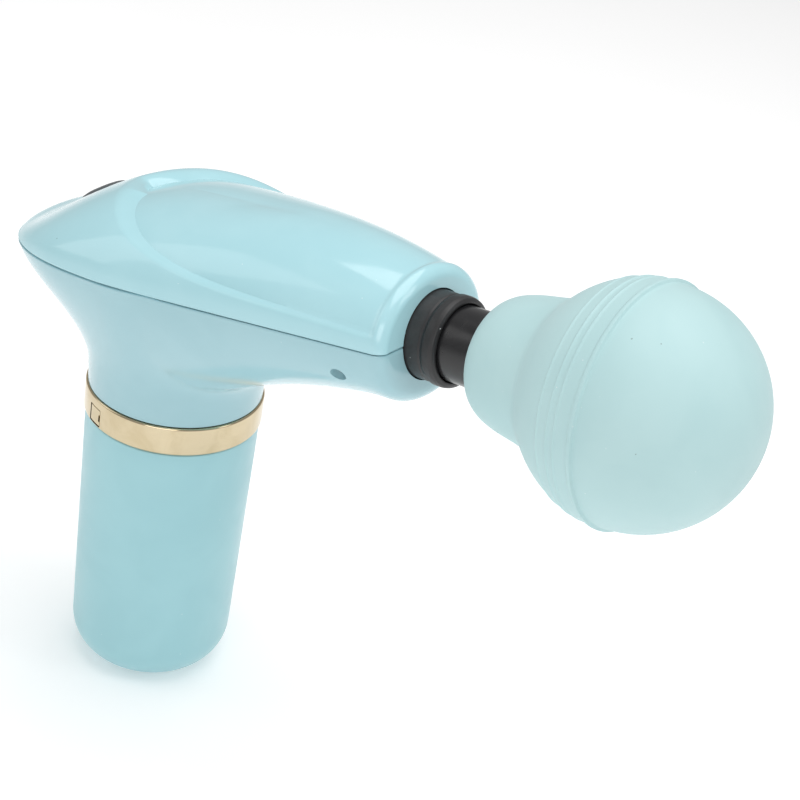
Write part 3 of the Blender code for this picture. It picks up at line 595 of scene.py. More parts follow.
def arc(cx, cz, r, a0, a1, count):
    """Points of an arc in a profile plane, angles in degrees."""
    steps = [math.radians(a0 + (a1 - a0) * i / (count - 1)) for i in range(count)]
    return [(cx + r * math.cos(a), cz + r * math.sin(a)) for a in steps]


def curve_through(points, per_span):
    """A smooth curve through the points, by Catmull and Rom's rule."""
    pts = [np.array(p, float) for p in points]
    pts = [2 * pts[0] - pts[1]] + pts + [2 * pts[-1] - pts[-2]]
    out = []
    for i in range(1, len(pts) - 2):
        p0, p1, p2, p3 = pts[i - 1:i + 3]
        for k in range(per_span):
            f = k / per_span
            first = (p2 - p0) * f
            second = (2 * p0 - 5 * p1 + 4 * p2 - p3) * f ** 2
            third = (3 * p1 - p0 - 3 * p2 + p3) * f ** 3
            out.append(tuple(0.5 * (2 * p1 + first + second + third)))
    out.append(tuple(pts[-2]))
    return out


def turned_mesh(name, profile, steps):
    """Turned solid from a (radius, height) outline; one clear of the axis is a closed loop."""
    count = len(profile)
    closed = all(r > ON_AXIS for r, _ in profile)
    verts = []
    for i in range(steps):
        a = 2.0 * math.pi * i / steps
        verts += [(r * math.cos(a), r * math.sin(a), z) for r, z in profile]
    faces = []
    for i in range(steps):
        here = i * count
        there = (i + 1) % steps * count
        for j in range(count if closed else count - 1):
            k = (j + 1) % count
            faces.append((here + j, there + j, there + k, here + k))
    mesh = bpy.data.meshes.new(name)
    mesh.from_pydata(verts, [], faces)
    bm = bmesh.new()
    bm.from_mesh(mesh)
    bmesh.ops.remove_doubles(bm, verts=bm.verts, dist=TURNED_MERGE)
    bmesh.ops.recalc_face_normals(bm, faces=bm.faces)
    bm.to_mesh(mesh)
    bm.free()
    return mesh


def block_mesh(name, size, radius, steps, centre=(0.0, 0.0, 0.0)):
    """Box with rounded edges."""
    mesh = bpy.data.meshes.new(name)
    bm = bmesh.new()
    bmesh.ops.create_cube(bm, size=1.0)
    bmesh.ops.scale(bm, vec=Vector(size), verts=bm.verts)
    bmesh.ops.bevel(bm, geom=bm.edges[:], offset=radius, segments=steps, profile=0.5,
                    affect="EDGES")
    bmesh.ops.translate(bm, vec=Vector(centre), verts=bm.verts)
    bm.to_mesh(mesh)
    bm.free()
    return mesh


def joined(name, meshes):
    """One mesh of several that don't touch."""
    bm = bmesh.new()
    for mesh in meshes:
        bm.from_mesh(mesh)
    out = bpy.data.meshes.new(name)
    bm.to_mesh(out)
    bm.free()
    return out


def combine(ob, mesh, operation):
    """Adds a mesh to the object, or cuts it away."""
    tool = linked("tool", mesh)
    mod = ob.modifiers.new("combine", "BOOLEAN")
    mod.operation = operation
    mod.solver = "MANIFOLD"
    mod.object = tool
    applied(ob)
    bpy.data.objects.remove(tool, do_unlink=True)


def moved(mesh, matrix):
    mesh.transform(matrix)
    return mesh


# ---------------------------------------------------------------------------
# finishes

def colour(r, g, b):
    return (r, g, b, 1.0)


class Finish:
    """A procedural material whose patterns start from the piece's own coordinates."""

    FACTOR, COLOUR_A, COLOUR_B, COLOUR_OUT = 0, 6, 7, 2     # sockets of a colour mix

    def __init__(self, name, **constants):
        self.mat = bpy.data.materials.new(name)
        self.mat.use_nodes = True
        self.tree = self.mat.node_tree
        self.bsdf = self.tree.nodes["Principled BSDF"]
        for key, value in constants.items():
            self.bsdf.inputs[key.replace("_", " ")].default_value = value
        self.coords = self.tree.nodes.new("ShaderNodeTexCoord").outputs["Object"]

    def node(self, kind, **settings):
        made = self.tree.nodes.new("ShaderNode" + kind)
        for key, value in settings.items():
            setattr(made, key, value)
        return made

    def wire(self, source, target):
        self.tree.links.new(source, target)

    def stretched(self, scale):
        made = self.node("Mapping")
        made.inputs["Scale"].default_value = scale
        self.wire(self.coords, made.inputs["Vector"])
        return made.outputs["Vector"]

    def noise(self, scale, detail=3.0, distortion=0.0, coords=None):
        made = self.node("TexNoise")
        made.inputs["Scale"].default_value = scale
        made.inputs["Detail"].default_value = detail
        made.inputs["Distortion"].default_value = distortion
        made.inputs["Roughness"].default_value = 0.55
        self.wire(coords or self.coords, made.inputs["Vector"])
        return made.outputs["Fac"]

    def remap(self, value, low_in, high_in, low_out, high_out):
        made = self.node("MapRange", interpolation_type="SMOOTHSTEP")
        for key, number in zip(("From Min", "From Max", "To Min", "To Max"),
                               (low_in, high_in, low_out, high_out)):
            made.inputs[key].default_value = number
        self.wire(value, made.inputs["Value"])
        return made.outputs["Result"]

    def maths(self, operation, a, b):
        made = self.node("Math", operation=operation)
        for socket, value in zip(made.inputs, (a, b)):
            if isinstance(value, (int, float)):
                socket.default_value = value
            else:
                self.wire(value, socket)
        return made.outputs[0]

    def blend(self, factor, a, b):
        made = self.node("Mix", data_type="RGBA")
        self.wire(factor, made.inputs[self.FACTOR])
        for place, value in ((self.COLOUR_A, a), (self.COLOUR_B, b)):
            if isinstance(value, tuple):
                made.inputs[place].default_value = value
            else:
                self.wire(value, made.inputs[place])
        return made.outputs[self.COLOUR_OUT]

    def specks(self, scale, size, share):
        """Mask of small spots: one in each chosen cell of a cell pattern."""
        cells = self.node("TexVoronoi")
        cells.inputs["Scale"].default_value = scale
        self.wire(self.coords, cells.inputs["Vector"])
        wobble = self.noise(scale * 9.0, 2.0)
        edge = self.maths("MULTIPLY", wobble, size * 2.0)
        spot = self.maths("LESS_THAN", cells.outputs["Distance"], edge)
        split = self.node("SeparateColor")
        self.wire(cells.outputs["Color"], split.inputs[0])
        chosen = self.maths("LESS_THAN", split.outputs[0], share)
        return self.maths("MULTIPLY", spot, chosen)

    def rubbed(self):
        """Broken mask of the convex edges, which handling rubs."""
        geometry = self.node("NewGeometry")
        edges = self.remap(geometry.outputs["Pointiness"], 0.56, 0.66, 0.0, 1.0)
        return self.maths("MULTIPLY", edges, self.noise(900.0, 4.0))

    def dress(self, base, rough, height=None, depth=0.0):
        """Wires colour, roughness and height to the shader; depth is in millimetres."""
        self.wire(base, self.bsdf.inputs["Base Color"])
        self.wire(rough, self.bsdf.inputs["Roughness"])
        if height is not None:
            bump = self.node("Bump")
            bump.inputs["Strength"].default_value = 1.0
            bump.inputs["Distance"].default_value = depth * MM
            self.wire(height, bump.inputs["Height"])
            self.wire(bump.outputs["Normal"], self.bsdf.inputs["Normal"])
        return self.mat


def moulded(name, base, shade, rough, spread, grain, depth, dust=0.10, dirt=0.05, **constants):
    """Moulded plastic or rubber: drifting tone, handling smudges, fine grain, dust and marks."""
    f = Finish(name, **constants)
    drift = f.remap(f.noise(45.0, 3.0, 0.4), 0.35, 0.65, 0.0, 1.0)
    tone = f.blend(drift, colour(*base), colour(*shade))
    pale = tuple(min(1.0, c * 1.12 + 0.06) for c in base)
    tone = f.blend(f.maths("MULTIPLY", f.rubbed(), 0.35), tone, colour(*pale))
    white = f.specks(420.0, 0.055, dust)
    tone = f.blend(f.maths("MULTIPLY", white, 0.5), tone, colour(0.8, 0.84, 0.84))
    dark = f.specks(170.0, 0.03, dirt)
    mark = tuple(c * 0.35 for c in base)
    tone = f.blend(f.maths("MULTIPLY", dark, 0.6), tone, colour(*mark))
    smudge = f.remap(f.noise(110.0, 5.0, 1.2), 0.35, 0.7, rough - spread, rough + spread)
    smudge = f.maths("ADD", smudge, f.maths("MULTIPLY", white, 0.3))
    fine = f.noise(grain, 2.0)
    wave = f.noise(150.0, 2.0)
    height = f.maths("ADD", f.maths("MULTIPLY", fine, 0.5), wave)
    height = f.maths("ADD", height, f.maths("MULTIPLY", white, 0.8))
    return f.dress(tone, smudge, height, depth)


def metal(name, base, shade, rough, spread, lines, depth):
    """Metal with fine tool lines along one direction, tarnish and rubbed edges."""
    f = Finish(name, Metallic=1.0)
    tarnish = f.remap(f.noise(120.0, 5.0, 0.8), 0.35, 0.7, 0.0, 1.0)
    tone = f.blend(tarnish, colour(*base), colour(*shade))
    bright = tuple(min(1.0, c * 1.15) for c in base)
    tone = f.blend(f.maths("MULTIPLY", f.rubbed(), 0.5), tone, colour(*bright))
    brushed = f.noise(1.0, 4.0, 0.0, f.stretched(lines))
    value = f.remap(brushed, 0.3, 0.7, rough - spread, rough + spread)
    value = f.maths("ADD", value, f.remap(f.noise(260.0, 4.0, 1.0), 0.5, 0.8, 0.0, 0.1))
    return f.dress(tone, value, brushed, depth)


def board(name):
    """Solder mask over copper runs, with a woven glass ground."""
    f = Finish(name)
    runs = f.node("TexBrick", offset=0.5)
    runs.inputs["Scale"].default_value = 260.0
    runs.inputs["Mortar Size"].default_value = 0.045
    f.wire(f.coords, runs.inputs["Vector"])
    weave = f.noise(1800.0, 2.0)
    ground = f.blend(weave, colour(0.008, 0.10, 0.045), colour(0.016, 0.15, 0.06))
    tone = f.blend(runs.outputs["Fac"], ground, colour(0.05, 0.24, 0.09))
    pads = f.specks(420.0, 0.16, 0.3)
    tone = f.blend(pads, tone, colour(0.62, 0.5, 0.24))
    rough = f.remap(weave, 0.3, 0.7, 0.25, 0.4)
    return f.dress(tone, rough, f.maths("ADD", weave, runs.outputs["Fac"]), 0.03)


def wrap(name):
    """Shrunk film round a cell: fine wrinkles, with painted shade darkening the low parts of the
    folds.
    """
    f = Finish(name, Coat_Weight=0.3)
    folds_and_fold_shade = f.noise(90.0, 4.0, 0.8, f.stretched((1.0, 1.0, 0.25)))
    # the film's colour follows the folds' height: painted shade, darker in the folds' hollows
    tone = f.blend(f.remap(folds_and_fold_shade, 0.4, 0.7, 0.0, 1.0), colour(0.03, 0.14, 0.42),
                   colour(0.05, 0.22, 0.55))
    rough = f.remap(f.noise(300.0, 3.0), 0.3, 0.7, 0.2, 0.42)
    return f.dress(tone, rough, folds_and_fold_shade, 0.12)


def foam(name):
    """Open-cell foam: pores in a grey ground, darkened with painted shade."""
    f = Finish(name)
    cells = f.node("TexVoronoi")
    cells.inputs["Scale"].default_value = 1400.0
    f.wire(f.coords, cells.inputs["Vector"])
    pore_and_pore_shade = f.remap(cells.outputs["Distance"], 0.1, 0.6, 0.0, 1.0)
    # pores painted near black: painted shade in the hollows that the same pattern dents
    tone = f.blend(pore_and_pore_shade, colour(0.03, 0.03, 0.03), colour(0.16, 0.16, 0.165))
    return f.dress(tone, f.remap(pore_and_pore_shade, 0.0, 1.0, 0.95, 0.8), pore_and_pore_shade, 0.3)


ROUND_LINES = (40.0, 40.0, 9000.0)      # lines that run round an upright axis
FLAT_LINES = (300.0, 6000.0, 300.0)
WINDING_LINES = (300.0, 300.0, 2600.0)
GLOSS = dict(Coat_Weight=0.3, Coat_Roughness=0.05)

# colours are linear; grain and lines are pattern scales, depth is the relief in millimetres,
# dust and dirt are the shares of a spot pattern that show
FINISHES = {
    "shell_aqua": (moulded, dict(
        base=(0.415, 0.680, 0.735), shade=(0.395, 0.662, 0.718), rough=0.15, spread=0.035,
        grain=2600.0, depth=0.006, dust=0.05, dirt=0.02, **GLOSS)),
    # darker copy of the shell's own plastic for the lower shell: painted shade for its
    # underside, which gets less light from above
    "lower_aqua_painted_shade": (moulded, dict(
        base=(0.350, 0.568, 0.620), shade=(0.332, 0.550, 0.602), rough=0.17, spread=0.035,
        grain=2600.0, depth=0.006, dust=0.05, dirt=0.02, **GLOSS)),
    "handle_aqua": (moulded, dict(
        base=(0.345, 0.610, 0.655), shade=(0.325, 0.585, 0.632), rough=0.34, spread=0.05,
        grain=3200.0, depth=0.012, dust=0.16, dirt=0.10)),
    "mint_silicone": (moulded, dict(
        base=(0.445, 0.645, 0.655), shade=(0.422, 0.624, 0.636), rough=0.58, spread=0.06,
        grain=3600.0, depth=0.02, dust=0.30, dirt=0.22, Sheen_Weight=0.12,
        Sheen_Roughness=0.5)),
    "stiff_pu": (moulded, dict(
        base=(0.30, 0.40, 0.41), shade=(0.26, 0.36, 0.37), rough=0.72, spread=0.06,
        grain=1500.0, depth=0.05)),
    "pale_gold": (metal, dict(
        base=(0.63, 0.535, 0.365), shade=(0.56, 0.465, 0.30), rough=0.11, spread=0.04,
        lines=ROUND_LINES, depth=0.004)),
    "black_rubber": (moulded, dict(
        base=(0.016, 0.016, 0.017), shade=(0.022, 0.022, 0.023), rough=0.46, spread=0.07,
        grain=2400.0, depth=0.03, dust=0.16, dirt=0.0)),
    "black_nylon": (moulded, dict(
        base=(0.011, 0.011, 0.012), shade=(0.016, 0.016, 0.017), rough=0.24, spread=0.06,
        grain=1800.0, depth=0.012, dust=0.34, dirt=0.0)),
    "grey_rubber": (moulded, dict(
        base=(0.085, 0.095, 0.10), shade=(0.07, 0.08, 0.085), rough=0.42, spread=0.06,
        grain=3000.0, depth=0.03, dust=0.14, dirt=0.0)),
    "white_nylon": (moulded, dict(
        base=(0.72, 0.72, 0.69), shade=(0.66, 0.66, 0.62), rough=0.45, spread=0.06,
        grain=2000.0, depth=0.02)),
    "steel": (metal, dict(
        base=(0.56, 0.57, 0.59), shade=(0.45, 0.46, 0.48), rough=0.28, spread=0.07,
        lines=ROUND_LINES, depth=0.01)),
    "aluminium": (metal, dict(
        base=(0.72, 0.73, 0.74), shade=(0.62, 0.63, 0.65), rough=0.34, spread=0.08,
        lines=FLAT_LINES, depth=0.012)),
    "bronze": (metal, dict(
        base=(0.55, 0.36, 0.18), shade=(0.40, 0.25, 0.13), rough=0.36, spread=0.08,
        lines=ROUND_LINES, depth=0.03)),
    "copper": (metal, dict(
        base=(0.78, 0.36, 0.20), shade=(0.55, 0.24, 0.13), rough=0.3, spread=0.08,
        lines=WINDING_LINES, depth=0.12)),
    "circuit_board": (board, {}),
    "cell_wrap": (wrap, {}),
    "foam": (foam, {}),
}

LOOKS = {slot: make("look_" + slot, **values) for slot, (make, values) in FINISHES.items()}


def piece(name, mesh, body, slot, *nodes):
    """Shows a finished mesh in place of CAD nodes, riding on their body."""
    settle(linked(name, mesh), body, slot, *nodes)


def settle(ob, body, slot, *nodes):
    """Gives a piece its finish, its body and the CAD nodes that it stands for."""
    ob.data.materials.clear()
    ob.data.materials.append(LOOKS[slot])
    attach(ob, body)
    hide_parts(*nodes)


def dress_frame():
    """Gives every CAD node the finish of its material slot."""
    for row in frame["record"]["subparts"]:
        data = frame["nodes"][row["node"]].data
        data.materials.clear()
        data.materials.append(LOOKS[row["material_slot"]])


# ---------------------------------------------------------------------------
# housing

UPPER = dict(columns=161, hood_rows=12, panel_rows=22, lip_steps=8, stations=10, bore=NOSE_BORE)


def upper_shell():
    """Hood with its inset panel and the button's bevelled hole."""
    outer = eased_rows(upper_skin(0.0, **UPPER), 1.0)
    inner = eased_rows(upper_skin(SHELL_WALL, **UPPER), 0.0)
    ob = linked("upper_shell_skin", shell_from_grids("upper_shell_skin", outer, inner, True))
    mirror_y(ob)
    applied(ob)
    faced_out(ob.data)
    mouth = BUTTON_R + 1.3
    well = BUTTON_R + GAP
    above, below = 6.0, -5.0
    hole = filleted([(0.0, above), (mouth, above), (mouth, 0.35), (well, -0.4),
                     (well, below), (0.0, below)], 0.3, 3)
    combine(ob, moved(turned_mesh("hole", hole, 96), BUTTON_SEAT), "DIFFERENCE")
    placed(ob.data, BARREL)
    settle(ob, "housing", "shell_aqua", "upper_shell")


def seat_matrix(sign):
    """Side screw's seat in the barrel frame, square to the belly."""
    w = float(half_width(SCREW_S))
    b = float(belly_depth(SCREW_S))
    y = w * math.cos(SCREW_ANGLE)
    t = -b * math.sin(SCREW_ANGLE)
    lean = math.atan2(y / w ** 2, -t / b ** 2)
    return (Matrix.Translation((SCREW_S, sign * y, t))
            @ Matrix.Rotation(math.pi + sign * lean, 4, "X"))


BUTTON_SLOPE = math.atan2(
    float(crown_height(BUTTON_S + 3.0) - crown_height(BUTTON_S - 3.0)), 6.0)
BUTTON_SEAT = (Matrix.Translation((BUTTON_S, 0.0, float(crown_height(BUTTON_S))))
               @ Matrix.Rotation(-BUTTON_SLOPE, 4, "Y"))
TO_NECK = Matrix.Translation((0.0, 0.0, AXIS_Z - RING_TOP)) @ Matrix.Rotation(-TILT, 4, "Y")
NOSE_AXIS = TO_NECK @ Matrix.Rotation(math.radians(90.0), 4, "Y")


LOWER = dict(columns=121, rows=84)


def lower_shell():
    """Belly and neck, with the nose bore, both screw recesses and the socket's opening."""
    outer = eased_rows(lower_skin(0.0, **LOWER), 1.0)
    inner = eased_rows(lower_skin(SHELL_WALL, **LOWER), 0.0)
    ob = linked("lower_shell_skin", shell_from_grids("lower_shell_skin", outer, inner, False))
    mirror_y(ob)
    applied(ob)
    faced_out(ob.data)
    ahead, behind = 90.0, 60.0              # stations well clear of the nose wall
    bore = [(0.0, ahead), (NOSE_BORE, ahead), (NOSE_BORE, behind), (0.0, behind)]
    bosses = []
    cuts = [moved(turned_mesh("bore", bore, 128), NOSE_AXIS)]
    for sign in (1.0, -1.0):
        seat = TO_NECK @ seat_matrix(sign)
        boss = [(0.0, -1.0), (BOSS_R, -1.0), (BOSS_R, -4.8), (0.0, -4.8)]
        bosses.append(moved(turned_mesh("boss", boss, 40), seat))
        sink = filleted([(0.0, 4.0), (SINK_R, 4.0), (SINK_R, SINK_FLOOR), (HOLE_R, SINK_FLOOR),
                         (HOLE_R, -7.0), (0.0, -7.0)], 0.1, 2)
        cuts.append(moved(turned_mesh("sink", sink, 48), seat))
    at = (USB_SLOT_X, 0.0, USB_Z - RING_TOP)
    cuts.append(block_mesh("slot", USB_SLOT, 1.2, 5, at))
    combine(ob, joined("bosses", bosses), "UNION")
    combine(ob, joined("cuts", cuts), "DIFFERENCE")
    placed(ob.data, Matrix.Scale(MM, 4) @ Matrix.Translation((0.0, 0.0, RING_TOP)))
    settle(ob, "housing", "shell_aqua", "lower_shell")
    # the lower shell takes the darker copy of the shell's plastic: painted shade
    ob.data.materials[0] = LOOKS["lower_aqua_painted_shade"]


def side_screws():
    """Pan heads with a cross recess, sunk under the nose."""
    outline = [(0.0, -1.25), (1.1, -1.35), (1.6, -1.75), (1.6, -2.3), (0.8, -2.3), (0.8, -5.2),
               (0.0, -5.2)]
    for side, sign in (("left", 1.0), ("right", -1.0)):
        ob = linked("side_screw_" + side, turned_mesh("screw", filleted(outline, 0.25, 3), 48))
        for arm in ((1.7, 0.42, 1.4), (0.42, 1.7, 1.4)):
            recess = block_mesh("arm", arm, 0.06, 2, (0.0, 0.0, -1.4))
            combine(ob, recess, "DIFFERENCE")
        placed(ob.data, BARREL @ seat_matrix(sign))
        settle(ob, "housing", "steel", "belly_screw_" + side)


def handle_skin():
    """Turned grip with a rounded base and an eased upper edge."""
    flat_r = BASE_R - BASE_FILLET
    inner_fillet = BASE_FILLET - HANDLE_WALL
    hole = BASE_PLUG_R + GAP
    outer = filleted([(TOP_R - 1.0, HANDLE_LEN - GAP), (TOP_R, HANDLE_LEN - GAP),
                      (TOP_R, HANDLE_LEN - 6.0)], 0.5, 5)
    outer += arc(flat_r, BASE_FILLET, BASE_FILLET, 0.0, -90.0, 32)
    inner = [(hole + 0.25, 0.0), (hole, 0.25), (hole, HANDLE_WALL)]
    inner += arc(flat_r, BASE_FILLET, inner_fillet, -90.0, 0.0, 16)
    inner += [(TOP_R - HANDLE_WALL, HANDLE_LEN - GAP)]
    mesh = placed(turned_mesh("handle_skin", outer + inner, 144), HANDLE)
    piece("handle_skin", mesh, "housing", "handle_aqua", "handle_shell")


def base_cap():
    """Round cap in the handle's flat base, with a shallow ring groove round its flat middle."""
    seat = HANDLE_WALL + GAP
    r = BASE_PLUG_R
    outline = [(0.0, seat + 0.7), (r + 1.2, seat + 0.7), (r + 1.2, seat), (r, seat), (r, 0.0),
               (r - 1.2, 0.0), (r - 1.4, 0.25), (r - 1.9, 0.25), (r - 2.1, 0.0), (0.0, 0.0)]
    mesh = placed(turned_mesh("base_cap", filleted(outline, 0.15, 3), 96), HANDLE)
    piece("base_cap", mesh, "housing", "handle_aqua", "base_plug")


def ring_band():
    """Polished band with rounded edges and a recess for its catch."""
    z = HANDLE_LEN
    outline = [(RING_BORE, RING_TOP), (RING_R, RING_TOP), (RING_R, z), (RING_BORE, z)]
    ob = linked("ring_band", turned_mesh("ring_band", filleted(outline, 0.7, 6, True), 160))
    turn = Matrix.Rotation(CLIP_AZ, 4, "Z")
    slot = block_mesh("slot", (2.4, 4.9, 4.9), 0.35, 3, (RING_R, 0.0, CLIP_Z))
    combine(ob, moved(slot, turn), "DIFFERENCE")
    placed(ob.data, HANDLE)
    settle(ob, "housing", "pale_gold", "trim_ring")


def ring_catch():
    """Small curved catch that closes the band, with a finger notch in its leading edge."""
    wide = CLIP_SIDE / RING_R
    rows, cols = 13, 13
    verts = []
    for r in (RING_R - 0.05, RING_R - 0.85):
        for i in range(rows):
            for j in range(cols):
                a = CLIP_AZ + wide * (j / (cols - 1) - 0.5)
                z = CLIP_Z + CLIP_SIDE * (i / (rows - 1) - 0.5)
                verts.append((r * math.cos(a), r * math.sin(a), z))
    base = rows * cols
    faces = []
    for i in range(rows - 1):
        for j in range(cols - 1):
            a = i * cols + j
            faces.append((a, a + 1, a + cols + 1, a + cols))
            faces.append((base + a, base + a + cols, base + a + cols + 1, base + a + 1))
    rim = list(range(cols)) + [i * cols + cols - 1 for i in range(1, rows)]
    rim += [(rows - 1) * cols + j for j in range(cols - 2, -1, -1)]
    rim += [i * cols for i in range(rows - 2, 0, -1)]
    for a, b in zip(rim, rim[1:] + rim[:1]):
        faces.append((b, a, base + a, base + b))
    mesh = bpy.data.meshes.new("ring_catch")
    mesh.from_pydata(verts, [], faces)
    ob = linked("ring_catch", mesh)
    bevel = ob.modifiers.new("edges", "BEVEL")
    bevel.width = 0.14
    bevel.segments = 3
    bevel.limit_method = "ANGLE"
    applied(ob)
    turn = Matrix.Rotation(CLIP_AZ + 0.5 * wide, 4, "Z")
    notch = block_mesh("notch", (3.0, 1.1, 2.0), 0.3, 3, (RING_R, 0.1, CLIP_Z))
    combine(ob, moved(notch, turn), "DIFFERENCE")
    placed(ob.data, HANDLE)
    settle(ob, "housing", "pale_gold", "trim_ring_clip")


def nose_collar():
    """Rubber sleeve with two beads that closes the nose round the stem."""
    bore = STEM_R + GAP
    ahead, behind = 7.9, -2.9               # ends of the sleeve, from the nose face
    beads = [
        (-0.75, ahead), (-0.05, 7.5), (0.2, 6.6), (0.2, 4.9), (-0.3, 4.1), (-0.1, 3.5),
        (-0.05, 0.6), (0.0, -2.1), (-0.6, behind),
    ]
    outline = [(bore, NOSE + ahead)] + [(COLLAR_R + dr, NOSE + ds) for dr, ds in beads]
    outline.append((bore, NOSE + behind))
    mesh = placed(turned_mesh("collar", filleted(outline, 0.45, 5, True), 144), ALONG)
    piece("collar", mesh, "housing", "black_rubber", "nose_collar")


def power_button():
    """Domed push button with a shallow ring round its dished middle."""
    outline = [(0.0, 0.45), (2.2, 0.5), (3.4, 0.7), (4.3, 0.7), (5.6, 0.35), (BUTTON_R, -0.4),
               (BUTTON_R, -3.0), (0.0, -3.0)]
    mesh = turned_mesh("button_cap", filleted(outline, 0.5, 4), 96)
    mesh = placed(mesh, BARREL @ BUTTON_SEAT)
    piece("button_cap", mesh, "button", "grey_rubber", "power_button")


def charging_socket():
    """Drawn steel mouth with a contact tongue inside."""
    depth, wide, tall = USB_SIZE
    sheet = 0.7                             # both walls of the drawn sheet together
    ob = linked("charging_socket", block_mesh("socket", USB_SIZE, 1.1, 6))
    mouth = block_mesh("mouth", (depth, wide - sheet, tall - sheet), 0.9, 6, (-0.8, 0.0, 0.0))
    combine(ob, mouth, "DIFFERENCE")
    tongue = block_mesh("tongue", (5.0, 6.0, 0.7), 0.12, 2, (0.4, 0.0, 0.0))
    combine(ob, tongue, "UNION")
    placed(ob.data, HANDLE @ Matrix.Translation((USB_X, 0.0, USB_Z)))
    settle(ob, "housing", "steel", "usb_socket")


# ---------------------------------------------------------------------------
# head

def head_stem():
    """Glossy stem with the plug that pushes into the piston, grooved for two rings."""
    groove = PLUG_R - GROOVE_DEPTH
    shoulder = PISTON_FRONT + 0.4
    outline = [(0.0, STEM_END), (STEM_R, STEM_END), (STEM_R, shoulder), (PLUG_R, shoulder)]
    for front, back in GROOVES:
        outline += [(PLUG_R, front), (groove, front), (groove, back), (PLUG_R, back)]
    outline += [(PLUG_R, PLUG_END), (0.0, PLUG_END)]
    mesh = placed(turned_mesh("stem", filleted(outline, 0.4, 4), 128), ALONG)
    piece("stem", mesh, "head", "black_nylon", "head_stem")


RIDGES = ((121.6, 0.22), (124.6, 0.26), (126.5, 0.22))   # station and height of each ridge
RIDGE_WIDTH = 0.34
NECK_MEET_R = 18.6                                       # where the ball runs into its neck


def ball_outline():
    """Outer outline of the ball, from its front pole back to the mouth of its neck."""
    front = arc(0.0, BALL_S, BALL_R, 90.0, 3.0, 72)
    front[0] = (0.0, BALL_S + BALL_R)
    band = filleted([front[-1], (BALL_R + 0.05, BALL_S + 0.9), (BALL_R + 0.75, BALL_S + 0.55),
                     (BALL_R + 0.75, BALL_S - 0.1), (BALL_R + 0.3, BALL_S - 0.7),
                     (BALL_BACK_R - 0.1, BALL_S - 2.2)], 0.3, 4)[1:-1]
    back = []
    end = -math.degrees(math.acos(NECK_MEET_R / BALL_BACK_R))
    for r, s in arc(0.0, BALL_S, BALL_BACK_R, -4.5, end, 260):
        lift = sum(h * math.exp(-((s - at) / RIDGE_WIDTH) ** 2) for at, h in RIDGES)
        grow = 1.0 + lift / BALL_BACK_R
        back.append((r * grow, BALL_S + (s - BALL_S) * grow))
    kink = back[-1]
    neck = curve_through([kink, (17.35, kink[1] - 1.9), (16.55, 106.3), (15.75, 101.5),
                          (15.15, 98.8), (14.35, 96.4), (13.1, 94.3), (11.7, 93.0),
                          (10.4, HEAD_REAR)], 8)
    return front + band + back + neck[1:]


def ball_head():
    """Silicone skin of the ball, hollow over its core and bored for the stem."""
    pocket = BALL_R - BALL_WALL
    bore = STEM_R + GAP
    inner = [(bore + 0.55, HEAD_REAR), (bore, HEAD_REAR + 0.6), (bore, 96.0), (11.0, 101.0)]
    inner += arc(0.0, BALL_S, pocket, -58.0, 90.0, 32)
    inner[-1] = (0.0, BALL_S + pocket)
    mesh = turned_mesh("ball_skin", ball_outline() + inner, 160)
    piece("ball_skin", placed(mesh, ALONG), "head", "mint_silicone", "ball_head")


# ---------------------------------------------------------------------------
# floor, lights and camera

MIDDLE = (0.05, 0.0, 0.10)      # what the lamps face, in metres
FLOOR_SIZE = 6.0
FLOOR_DROP = 0.0002             # keeps the floor clear of the handle's flat base


def floor():
    """Pale sheet under the handle, wide enough to fill every view."""
    mesh = bpy.data.meshes.new("floor")
    bm = bmesh.new()
    bmesh.ops.create_grid(bm, x_segments=8, y_segments=8, size=FLOOR_SIZE)
    bm.to_mesh(mesh)
    bm.free()
    ob = linked("floor", mesh)
    ob.location.z = -FLOOR_DROP
    f = Finish("look_floor", Emission_Color=colour(1.0, 1.0, 1.0), Emission_Strength=0.2)
    cloud = f.noise(6.0, 2.0)
    tone = f.blend(cloud, colour(0.93, 0.93, 0.93), colour(0.955, 0.955, 0.955))
    f.dress(tone, f.remap(cloud, 0.3, 0.7, 0.9, 1.0))
    mesh.materials.append(f.mat)


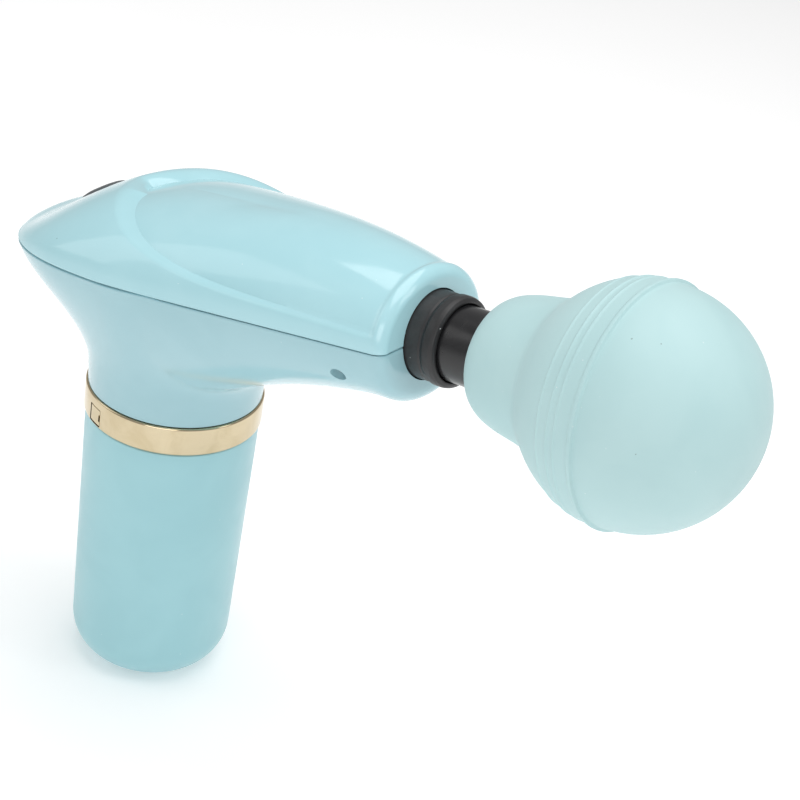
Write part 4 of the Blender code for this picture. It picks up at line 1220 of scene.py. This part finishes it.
def softbox(name, at, size, watts):
    """Rectangular lamp that faces the middle of the gun."""
    data = bpy.data.lights.new(name, "AREA")
    data.shape = "RECTANGLE"
    data.size, data.size_y = size
    data.energy = watts
    ob = bpy.data.objects.new(name, data)
    bpy.context.scene.collection.objects.link(ob)
    ob.location = at
    ob.rotation_mode = "QUATERNION"
    ob.rotation_quaternion = (Vector(MIDDLE) - Vector(at)).to_track_quat("-Z", "Y")


def studio():
    """White surroundings and four soft lamps."""
    world = bpy.data.worlds.new("studio")
    world.use_nodes = True
    tree = world.node_tree
    ground = tree.nodes["Background"]
    ground.inputs["Color"].default_value = colour(1.0, 1.0, 1.0)
    seen = tree.nodes.new("ShaderNodeLightPath")
    level = tree.nodes.new("ShaderNodeMapRange")
    level.inputs["To Min"].default_value = 0.42     # as a light on the object
    level.inputs["To Max"].default_value = 1.0      # as the white behind it
    tree.links.new(seen.outputs["Is Camera Ray"], level.inputs["Value"])
    tree.links.new(level.outputs["Result"], ground.inputs["Strength"])
    bpy.context.scene.world = world
    softbox("top", (0.10, 0.10, 0.85), (0.9, 0.7), 4.6)
    softbox("left", (-0.70, -0.55, 0.55), (0.5, 0.7), 1.0)
    softbox("front", (0.50, -0.85, 0.50), (0.7, 0.5), 2.6)
    softbox("right", (0.85, 0.30, 0.60), (0.35, 0.5), 1.2)


def camera():
    """Looks down at the gun from the side of its head."""
    data = bpy.data.cameras.new("camera")
    data.lens = 89.1
    data.sensor_width = 36.0
    ob = bpy.data.objects.new("camera", data)
    bpy.context.scene.collection.objects.link(ob)
    right = Vector((0.75628373, 0.63671978, 0.15040895))
    up = Vector((-0.42796001, 0.30756609, 0.84985489))
    back = Vector((0.49485872, -0.70710044, 0.50509783))
    turn = Matrix((right, up, back)).transposed().to_4x4()
    ob.matrix_world = Matrix.Translation((0.2912456, -0.3180068, 0.3388691)) @ turn
    bpy.context.scene.camera = ob


dress_frame()
upper_shell()
lower_shell()
side_screws()
handle_skin()
base_cap()
ring_band()
ring_catch()
nose_collar()
power_button()
charging_socket()
head_stem()
ball_head()
floor()
studio()
camera()
bpy.context.scene.view_settings.view_transform = "Standard"
